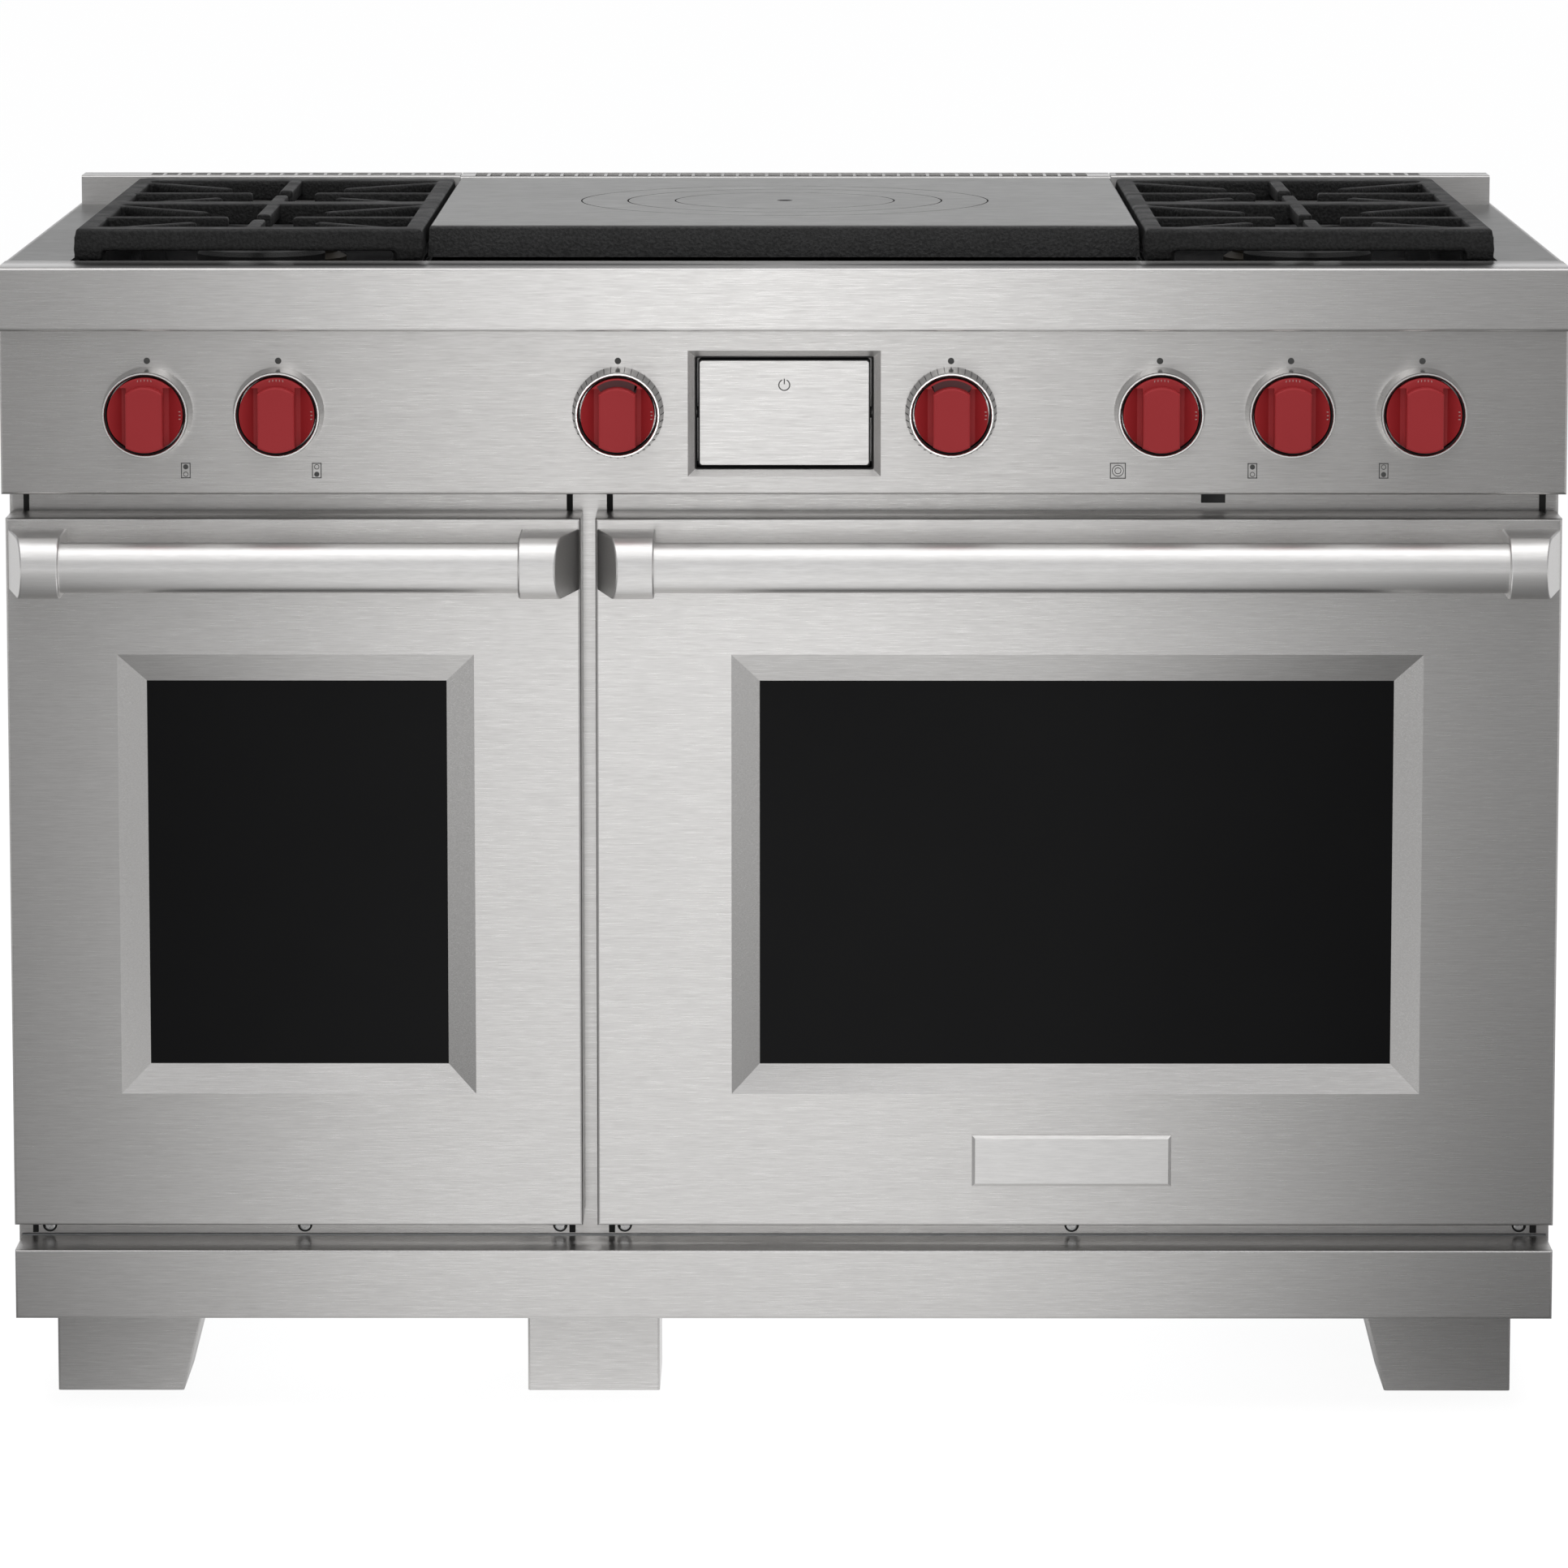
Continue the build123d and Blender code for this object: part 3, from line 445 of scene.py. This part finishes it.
def join(name, pieces):
    take(pieces[0])
    for piece in pieces[1:]:
        piece.select_set(True)
    bpy.ops.object.join()
    pieces[0].name = name
    pieces[0].data.name = name
    return pieces[0]


def fit(piece, body, finish, smooth=True):
    """Finish a piece: its material and the body it rides on."""
    if smooth:
        take(piece)
        bpy.ops.object.shade_smooth_by_angle(angle=SHARP)
    paint(piece, finish)
    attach(piece, body)
    return piece


def merged_copy(node, name):
    """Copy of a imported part's mesh, with its loose triangles merged into closed faces."""
    piece = parts[node].copy()
    piece.data = parts[node].data.copy()
    piece.name = name
    piece.data.name = name
    bpy.context.scene.collection.objects.link(piece)
    edit_all(piece)
    bpy.ops.mesh.remove_doubles(threshold=0.005 * MM)
    return done(piece)


# ---------------------------------------------------------------- castings

FOOT_SIDE = 21.0 * MM
FOOT_INSET = 0.8 * MM        # from the outer faces of the grate
FOOT_TOP = 6.0 * MM          # below the top of the grate
FOOT_GAP = 1.0 * MM          # over the rim of the pan


def corner_feet(node):
    """Blocks that carry a grate's corners flush down to the rim of its pan."""
    low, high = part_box(node)
    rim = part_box("burner_pans")[1].z + FOOT_GAP
    feet = []
    for x in (low.x + FOOT_INSET, high.x - FOOT_INSET - FOOT_SIDE):
        for y in (low.y + FOOT_INSET, high.y - FOOT_INSET - FOOT_SIDE):
            feet.append(slab("foot", (x, y, rim), (x + FOOT_SIDE, y + FOOT_SIDE, high.z - FOOT_TOP)))
    return feet


def pebbled_grate(side):
    """Grate with the soft edges and slightly uneven faces of a sand casting."""
    node = f"grate_{side}"
    grate = join(f"cast_grate_{side}", [merged_copy(node, f"cast_grate_{side}")] + corner_feet(node))
    apply_modifier(grate, "REMESH", mode="VOXEL", voxel_size=1.6 * MM)
    apply_modifier(grate, "SMOOTH", factor=0.5, iterations=2)
    apply_modifier(grate, "DECIMATE", ratio=0.55)
    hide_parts(node)
    return fit(grate, node, cast_iron)


# ---------------------------------------------------------------- control panel

PANEL_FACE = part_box("control_panel")[0].y
KNOB_Z = (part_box("burner_knob_1")[0].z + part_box("burner_knob_1")[1].z) / 2
KNOB_X = {name: (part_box(name)[0].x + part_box(name)[1].x) / 2
          for name in parts if name.startswith(("burner_knob", "oven_knob"))}
PRINT = 0.25 * MM            # thickness of printed and etched marks
DOT_RISE, DOT_RADIUS = 40.0 * MM, 2.5 * MM


def pointer_dots():
    """One dark dot over each knob."""
    dots = [disc("pointer_dot", (x, PANEL_FACE - PRINT / 2, KNOB_Z + DOT_RISE), DOT_RADIUS, PRINT, sides=24,
                 rounding=0.08 * MM) for x in KNOB_X.values()]
    return fit(join("pointer_dots", dots), "root", mark_grey)


MARK_DROP = 45.4 * MM        # of the etched maps below the knobs' middles
MARK_ASIDE = {1: 29.3 * MM, 2: 29.2 * MM, 4: -29.2 * MM, 5: -29.2 * MM}
PAIR_WIDE, PAIR_HIGH = 7.4 * MM, 12.0 * MM
PAIR_SPACING = 2.9 * MM      # from the middle of a pair map to each of its two burners
RINGS_ASIDE, RINGS_SIDE = -32.1 * MM, 12.3 * MM
MARK_LINE = 0.7 * MM         # width of the outlines
SPOT_RADIUS = 2.0 * MM       # of a burner on a pair map
RING_LINE = 0.5 * MM         # width of the small rings


def box_outline(name, x, z, wide, high):
    """Thin rectangular outline on the panel: four strips that overlap at their corners."""
    front, back = PANEL_FACE - PRINT, PANEL_FACE + PRINT
    half = MARK_LINE / 2
    strips = []
    for side in (-1, 1):
        edge_x, edge_z = x + side * (wide / 2 - half), z + side * (high / 2 - half)
        strips.append(slab(name, (edge_x - half, front, z - high / 2), (edge_x + half, back, z + high / 2)))
        strips.append(slab(name, (x - wide / 2, front, edge_z - half), (x + wide / 2, back, edge_z + half)))
    return strips


def burner_marks():
    """Small etched maps beside the burner knobs: which burner of a pair, or the French top's rings."""
    z = KNOB_Z - MARK_DROP
    y = PANEL_FACE - PRINT / 2
    marks = []
    for number, top_filled in ((1, True), (2, False), (4, True), (5, False)):
        x = KNOB_X[f"burner_knob_{number}"] + MARK_ASIDE[number]
        marks += box_outline("burner_mark", x, z, PAIR_WIDE, PAIR_HIGH)
        for row, filled in ((1, top_filled), (-1, not top_filled)):
            spot = (x, y, z + row * PAIR_SPACING)
            if filled:
                marks.append(disc("burner_mark", spot, SPOT_RADIUS, PRINT * 2, sides=20, rounding=0.05 * MM))
            else:
                marks.append(washer("burner_mark", spot, SPOT_RADIUS - RING_LINE, SPOT_RADIUS, PRINT * 2,
                                    sides=20))
    x = KNOB_X["burner_knob_3"] + RINGS_ASIDE
    marks += box_outline("burner_mark", x, z, RINGS_SIDE, RINGS_SIDE)
    for radius in (2.6 * MM, 4.6 * MM):
        marks.append(washer("burner_mark", (x, y, z), radius - RING_LINE, radius, PRINT * 2, sides=28))
    return fit(join("burner_marks", marks), "root", mark_grey, smooth=False)


# ---------------------------------------------------------------- display

display_low, display_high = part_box("display_panel")
DISPLAY = (display_low + display_high) / 2       # the middle of the display panel
AXLE = 5.0 * MM              # the box takes in a stub of the axle at each end
LINING = 0.7 * MM            # thickness of the black lining and edging


def display_shade_lining():
    """Black lining of the opening that the display turns in: painted shade for the dark gap round the
    display.
    """
    half_x, half_z = 68.65 * MM, 43.45 * MM
    front, back = PANEL_FACE + 5.2 * MM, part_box("display_frame")[1].y - 3.5 * MM
    lining = slab("display_shade_lining", (DISPLAY.x - half_x, front, DISPLAY.z - half_z),
                  (DISPLAY.x + half_x, back, DISPLAY.z + half_z))
    edit_faces(lining, lambda face: abs(face.normal.y) > 0.9)
    bpy.ops.mesh.delete(type="FACE")
    clear()
    apply_modifier(lining, "SOLIDIFY", thickness=LINING, offset=-1.0)
    ease(lining, 0.3 * MM)
    return fit(lining, "root", seal_black)


def round_corners(band, width):
    """Round the four edges of a block that run from front to back."""
    corners = band.modifiers.new("corners", "BEVEL")
    corners.width = width
    corners.segments = 5
    corners.affect = "EDGES"
    corners.limit_method = "WEIGHT"
    weights = band.data.attributes.new("bevel_weight_edge", "FLOAT", "EDGE")
    for number, edge in enumerate(band.data.edges):
        start, end = [band.data.vertices[corner].co for corner in edge.vertices]
        weights.data[number].value = 1.0 if abs(start.y - end.y) > 1.0 * MM else 0.0
    take(band)
    bpy.ops.object.modifier_apply(modifier=corners.name)


def display_edging():
    """Black band round the display panel's edge, between its two faces, and a sleeve on each axle."""
    proud, face_gap = 0.8 * MM, 1.2 * MM
    low = display_low + Vector((AXLE - proud, face_gap, -proud))
    high = display_high + Vector((proud - AXLE, -face_gap, proud))
    band = slab("display_edging", low, high)
    round_corners(band, 2.6 * MM)
    edit_faces(band, lambda face: abs(face.normal.y) > 0.9)
    bpy.ops.mesh.delete(type="FACE")
    clear()
    apply_modifier(band, "SOLIDIFY", thickness=LINING, offset=-1.0)
    sleeve_radius, sleeve_length, sleeve_inset = 4.5 * MM, 1.4 * MM, 3.55 * MM
    sleeves = [disc("display_edging", (x, DISPLAY.y, DISPLAY.z), sleeve_radius, sleeve_length, axis="X",
                    rounding=0.1 * MM) for x in (display_low.x + sleeve_inset, display_high.x - sleeve_inset)]
    return fit(join("display_edging", [band] + sleeves), "display", seal_black)


def display_symbol():
    """Generic power symbol on the display panel: an open ring and a bar."""
    z = DISPLAY.z + 21.7 * MM
    centre = (DISPLAY.x, display_low.y, z)
    line = 0.45 * MM             # half the width of the ring's line and of the bar
    gap = 1.7 * MM               # half the width of the ring's opening
    clear()
    bpy.ops.mesh.primitive_torus_add(location=centre, rotation=TURN["Y"], major_radius=4.2 * MM,
                                     minor_radius=line, major_segments=48, minor_segments=8)
    ring = settle(bpy.context.active_object, "display_symbol")
    edit_faces(ring, lambda face: face.center.z > z + 1.0 * MM and abs(face.center.x - DISPLAY.x) < gap)
    bpy.ops.mesh.delete(type="FACE")
    bpy.ops.mesh.select_all(action="SELECT")
    bpy.ops.mesh.region_to_loop()
    bpy.ops.mesh.edge_face_add()
    edit_all(ring)
    bpy.ops.transform.resize(value=(1, 0.5, 1), center_override=centre)
    clear()
    bar = slab("display_symbol", (DISPLAY.x - line, display_low.y - 0.22 * MM, z + 0.6 * MM),
               (DISPLAY.x + line, display_low.y + 0.22 * MM, z + 5.0 * MM), 0.15 * MM)
    return fit(join("display_symbol", [ring, bar]), "display", symbol_grey)


def touch_screen():
    """Glass screen on the back of the display panel, seen when the panel turns over."""
    half_x, half_z = 59.0 * MM, 35.0 * MM
    glass = slab("touch_screen", (DISPLAY.x - half_x, display_high.y - 0.5 * MM, DISPLAY.z - half_z),
                 (DISPLAY.x + half_x, display_high.y + 0.25 * MM, DISPLAY.z + half_z))
    edit_faces(glass, lambda face: face.normal.y > 0.9)
    bpy.ops.mesh.inset(thickness=3.0 * MM)
    bpy.ops.transform.translate(value=(0, -0.12 * MM, 0))
    clear()
    ease(glass, 0.1 * MM)
    return fit(glass, "display", black_glass)


# ---------------------------------------------------------------- knobs

RIM_DEPTH = 10.0 * MM        # from a knob's front to the face of its rim
TICK_HALF_WIDTH, TICK_HALF_LENGTH = 0.22 * MM, 0.75 * MM
TICK_INSET = 2.1 * MM        # from the knob's outer edge
TICK_TURNS = (-11, -5.5, 0, 5.5, 11, 84, 90, 96)       # degrees from the top, clockwise
CUP_BORE = {"burner": 31.15 * MM, "oven": 30.65 * MM}
CUP_SLEEVE = 0.9 * MM        # thickness of the sleeves
CUP_REVEAL = 7.0 * MM        # length of the cups that their sleeves leave bare
WINDOW_INNER, WINDOW_OUTER = 22.3 * MM, 27.3 * MM
WINDOW_REACH = 14.0 * MM     # of the smoky arc to each side of the knob's middle


def knob_ticks():
    """White index ticks on the top and right edges of each knob."""
    for name, x in KNOB_X.items():
        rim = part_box(name)[0].y + RIM_DEPTH
        radius = (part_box(name)[1].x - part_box(name)[0].x) / 2 - TICK_INSET
        ticks = []
        for turn in TICK_TURNS:
            angle = math.radians(turn)
            spot = Vector((x + radius * math.sin(angle), rim, KNOB_Z + radius * math.cos(angle)))
            low = (spot.x - TICK_HALF_WIDTH, rim - 0.1 * MM, spot.z - TICK_HALF_LENGTH)
            high = (spot.x + TICK_HALF_WIDTH, rim + 0.2 * MM, spot.z + TICK_HALF_LENGTH)
            tick = slab("tick", low, high)
            edit_all(tick)
            bpy.ops.transform.rotate(value=angle, orient_axis="Y", center_override=spot)
            ticks.append(done(tick))
        fit(join(f"{name}_ticks", ticks), name, mark_white, smooth=False)


def cup_shade_sleeves():
    """Black sleeve in each knob cup: painted shade, so that the gap round the knob reads dark."""
    low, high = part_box("knob_bezels")
    length = high.y - low.y - CUP_REVEAL
    sleeves = []
    for name, x in KNOB_X.items():
        bore = CUP_BORE[name.split("_")[0]]
        middle = (x, (low.y + high.y) / 2, KNOB_Z)
        sleeves.append(washer("cup_shade_sleeves", middle, bore - CUP_SLEEVE, bore, length))
    return fit(join("cup_shade_sleeves", sleeves), "root", seal_black)


def oven_ring_ticks():
    """Fine graduations on the sloping ring round each oven knob."""
    back_y, back_rise = PANEL_FACE - 2.9 * MM, 35.3 * MM
    front_y, front_rise = PANEL_FACE - 21.0 * MM, 33.2 * MM
    half_width, thickness = 0.25 * MM, 0.35 * MM
    for side in ("left", "right"):
        x = KNOB_X[f"oven_knob_{side}"]
        z = KNOB_Z + front_rise
        tick = slab("tick", (x - half_width, front_y, z), (x + half_width, back_y, z + thickness))
        edit_faces(tick, lambda face: face.normal.y > 0.9)
        bpy.ops.transform.translate(value=(0, 0, back_rise - front_rise))
        clear()
        repeat_around(tick, 40, (x, 0, KNOB_Z), (0, 1, 0))
        tick.name = f"oven_ring_{side}_ticks"
        fit(tick, "root", mark_grey, smooth=False)


def oven_knob_windows():
    """Smoky arc window above the grip bar of each oven knob."""
    for side in ("left", "right"):
        name = f"oven_knob_{side}"
        x = KNOB_X[name]
        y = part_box(name)[0].y + RIM_DEPTH - 0.1 * MM
        arc = washer("arc", (x, y, KNOB_Z), WINDOW_INNER, WINDOW_OUTER, 0.5 * MM, sides=144)
        edit_faces(arc, lambda face: abs(face.center.x - x) > WINDOW_REACH or face.center.z < KNOB_Z)
        bpy.ops.mesh.delete(type="FACE")
        bpy.ops.mesh.select_mode(type="EDGE")
        bpy.ops.mesh.select_all(action="DESELECT")
        bpy.ops.mesh.select_non_manifold()
        bpy.ops.mesh.edge_face_add()
        clear()
        arc.name = f"{name}_window"
        fit(arc, name, smoky)


# ---------------------------------------------------------------- fronts

SCREW_X = [x * MM for x in (-583.7, -380.8, -177.8, -126.5, 228.9, 584.4)]
EDGE_ROUND = 0.9 * MM        # on folded sheet
PLATE_LEFT, PLATE_RIGHT = 327.5 * MM, 346.5 * MM
PLATE_HALF_HEIGHT = 4.3 * MM


def screw_rings():
    """Dark washers under the screws along the lower edge."""
    low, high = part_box("front_screws")
    y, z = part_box("oven_front_left")[0].y - 0.2 * MM, (low.z + high.z) / 2
    radius = (high.z - low.z) / 2
    inner, outer, thickness = radius + 0.1 * MM, radius + 1.6 * MM, 0.5 * MM
    rings = [washer("screw_rings", (x, y, z), inner, outer, thickness) for x in SCREW_X]
    return fit(join("screw_rings", rings), "root", seal_black)


def eased_sheet(node):
    """Folded sheet part with its sharp edges rounded, so that they catch the light."""
    piece = merged_copy(node, f"{node}_sheet")
    edit_all(piece)
    bpy.ops.mesh.dissolve_limited(angle_limit=math.radians(0.5))
    clear()
    ease(piece, EDGE_ROUND)
    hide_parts(node)
    fit(piece, "root", parts[node].data.materials[0])
    apply_modifier(piece, "WEIGHTED_NORMAL", keep_sharp=True)
    return piece


def rating_plate():
    """Blank black plate in the gap above the right door."""
    z = (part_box("door_right_skin")[1].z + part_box("control_panel")[0].z) / 2
    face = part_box("oven_front_right")[0].y
    plate = slab("rating_plate", (PLATE_LEFT, face - 0.6 * MM, z - PLATE_HALF_HEIGHT),
                 (PLATE_RIGHT, face + 0.2 * MM, z + PLATE_HALF_HEIGHT))
    edit_faces(plate, lambda side: side.normal.y < -0.9)
    bpy.ops.mesh.inset(thickness=0.8 * MM)
    bpy.ops.transform.translate(value=(0, 0.25 * MM, 0))
    clear()
    ease(plate, 0.15 * MM)
    return fit(plate, "root", control_black)


for hand in ("left", "right"):
    pebbled_grate(hand)
pointer_dots()
burner_marks()
display_shade_lining()
display_edging()
display_symbol()
touch_screen()
knob_ticks()
cup_shade_sleeves()
oven_ring_ticks()
oven_knob_windows()
rating_plate()
screw_rings()
for sheet in ("bullnose", "kick_panel", "legs", "display_frame"):
    eased_sheet(sheet)

# ---------------------------------------------------------------- studio


def studio_world():
    """Even grey surroundings for reflections, white where the camera sees past the floor."""
    world = bpy.data.worlds.new("studio")
    bpy.context.scene.world = world
    world.use_nodes = True
    tree = world.node_tree
    tree.nodes.clear()
    path = tree.nodes.new("ShaderNodeLightPath")
    around = add(tree, "ShaderNodeBackground", {"Color": (0.28, 0.28, 0.285, 1)})
    behind = add(tree, "ShaderNodeBackground", {"Color": (1, 1, 1, 1)})
    mix = add(tree, "ShaderNodeMixShader", {0: path.outputs["Is Camera Ray"], 1: around.outputs[0],
                                            2: behind.outputs[0]})
    output = tree.nodes.new("ShaderNodeOutputWorld")
    tree.links.new(mix.outputs[0], output.inputs["Surface"])


def softbox(name, place, target, width, height, radiance):
    """Rectangular lamp that shines this brightly from every point of its face."""
    light = bpy.data.lights.new(name, "AREA")
    light.shape = "RECTANGLE"
    light.size = width
    light.size_y = height
    light.energy = radiance * math.pi * width * height
    box = bpy.data.objects.new(name, light)
    bpy.context.scene.collection.objects.link(box)
    box.location = place
    box.rotation_euler = (Vector(target) - Vector(place)).to_track_quat("-Z", "Y").to_euler()
    box.visible_camera = False


POOL_CENTRE, POOL_SIDE = 0.95, 0.17     # brightness of the lit floor ahead of the range, and beside that
POOL_INNER, POOL_OUTER = 0.16, 0.68     # half widths of the pool of light, as the doors mirror it
POOL_SPREAD = 0.172                     # how fast the pool widens away from the range, per metre
POOL_OFFSET = 0.06                      # the pool's middle is this far to the left
ASIDE_GAIN = 0.55                       # added beside the range, for its side panels
NEAR_SHADE = 0.76                       # share of that brightness left on the floor close to the legs
NEAR_MIDDLE = 0.47                      # the dimmest line runs this far ahead of the range's middle
FLOOR_GREY, FLOOR_GLOW = 0.4, 0.88      # together they look white to the camera, with soft shadows


def floor_pool(tree):
    """Brightness of the floor for every ray but the camera's: what the steel mirrors."""
    place = tree.nodes.new("ShaderNodeTexCoord")
    spot = add(tree, "ShaderNodeSeparateXYZ", {0: place.outputs["Object"]})
    offset = arithmetic(tree, "ADD", spot.outputs[0], POOL_OFFSET)
    aside = add(tree, "ShaderNodeMath", {0: offset}, operation="ABSOLUTE").outputs[0]
    ahead = arithmetic(tree, "MULTIPLY", spot.outputs[1], -1.0)
    spread = remap(tree, ahead, 0.3, 6.3, 1.0, 1.0 + 6.0 * POOL_SPREAD)
    pool = add(tree, "ShaderNodeMapRange", {"Value": arithmetic(tree, "DIVIDE", aside, spread),
                                            "From Min": POOL_INNER, "From Max": POOL_OUTER,
                                            "To Min": POOL_CENTRE, "To Max": POOL_SIDE},
               interpolation_type="SMOOTHSTEP").outputs["Result"]
    pool = arithmetic(tree, "ADD", pool, remap(tree, aside, 1.1, 2.2, 0.0, ASIDE_GAIN))
    from_legs = arithmetic(tree, "SUBTRACT", ahead, NEAR_MIDDLE)
    from_legs = add(tree, "ShaderNodeMath", {0: from_legs}, operation="ABSOLUTE").outputs[0]
    near = arithmetic(tree, "MAXIMUM", remap(tree, from_legs, 0.0, 0.28, NEAR_SHADE, 1.0),
                      remap(tree, aside, 0.75, 1.3, NEAR_SHADE, 1.0))
    return arithmetic(tree, "MULTIPLY", pool, near)


def pale_floor():
    """Floor that looks white and keeps its soft shadows, but lights the range only gently."""
    bpy.ops.mesh.primitive_plane_add(size=400.0, location=(0, 0, 0))
    floor = bpy.context.active_object
    floor.name = "studio_floor"
    made = bpy.data.materials.new("pale_floor")
    made.use_nodes = True
    tree = made.node_tree
    tree.nodes.clear()
    path = tree.nodes.new("ShaderNodeLightPath")
    mirrored = add(tree, "ShaderNodeEmission", {"Strength": floor_pool(tree)})
    pale = add(tree, "ShaderNodeBsdfDiffuse", {"Color": (FLOOR_GREY, FLOOR_GREY, FLOOR_GREY, 1)})
    glow = add(tree, "ShaderNodeEmission", {"Strength": FLOOR_GLOW})
    seen = add(tree, "ShaderNodeAddShader", {0: pale.outputs[0], 1: glow.outputs[0]})
    mix = add(tree, "ShaderNodeMixShader", {0: path.outputs["Is Camera Ray"], 1: mirrored.outputs[0],
                                            2: seen.outputs[0]})
    output = tree.nodes.new("ShaderNodeOutputMaterial")
    tree.links.new(mix.outputs[0], output.inputs["Surface"])
    paint(floor, made)


def camera():
    """Half a metre above the cooktop and 5.8 m in front of its edge, with a long lens."""
    made = bpy.data.cameras.new("camera")
    made.lens = 173.1
    made.sensor_width = 36.0
    made.shift_y = -0.09
    made.clip_end = 100.0
    holder = bpy.data.objects.new("camera", made)
    bpy.context.scene.collection.objects.link(holder)
    tilt, swing = math.radians(7.52), math.radians(0.137)
    holder.location = (0.0142, -6.134, 1.3884)
    holder.rotation_euler = (math.pi / 2 - tilt, 0, swing)
    bpy.context.scene.camera = holder


studio_world()
pale_floor()
camera()
# softbox: its name, place, target, width, height and radiance
softbox("front_centre", (-0.1, -6.6, 1.8), (-0.1, -0.3, 1.8), 1.15, 6.0, 1.35)
softbox("front_high", (0.0, -2.3, 3.2), (0, -0.37, 0.7), 3.6, 1.5, 0.8)
softbox("overhead", (0.0, -0.3, 3.2), (0, -0.29, 0.9), 3.2, 2.3, 1.35)
softbox("back_low", (0.0, 6.0, 1.6), (0, 0, 0.9), 6.0, 1.8, 0.55)
softbox("front_left", (-4.6, -3.3, 1.6), (0, -0.3, 0.8), 2.4, 2.8, 0.30)
softbox("front_right", (4.6, -3.3, 1.6), (0, -0.3, 0.8), 2.4, 2.8, 0.45)
for lamp, lamp_x in (("left_side", -5.0), ("right_side", 5.0)):
    softbox(lamp, (lamp_x, 2.4, 1.6), (0, 1.6, 0.8), 3.0, 2.4, 0.6)
bpy.context.scene.view_settings.view_transform = "Standard"
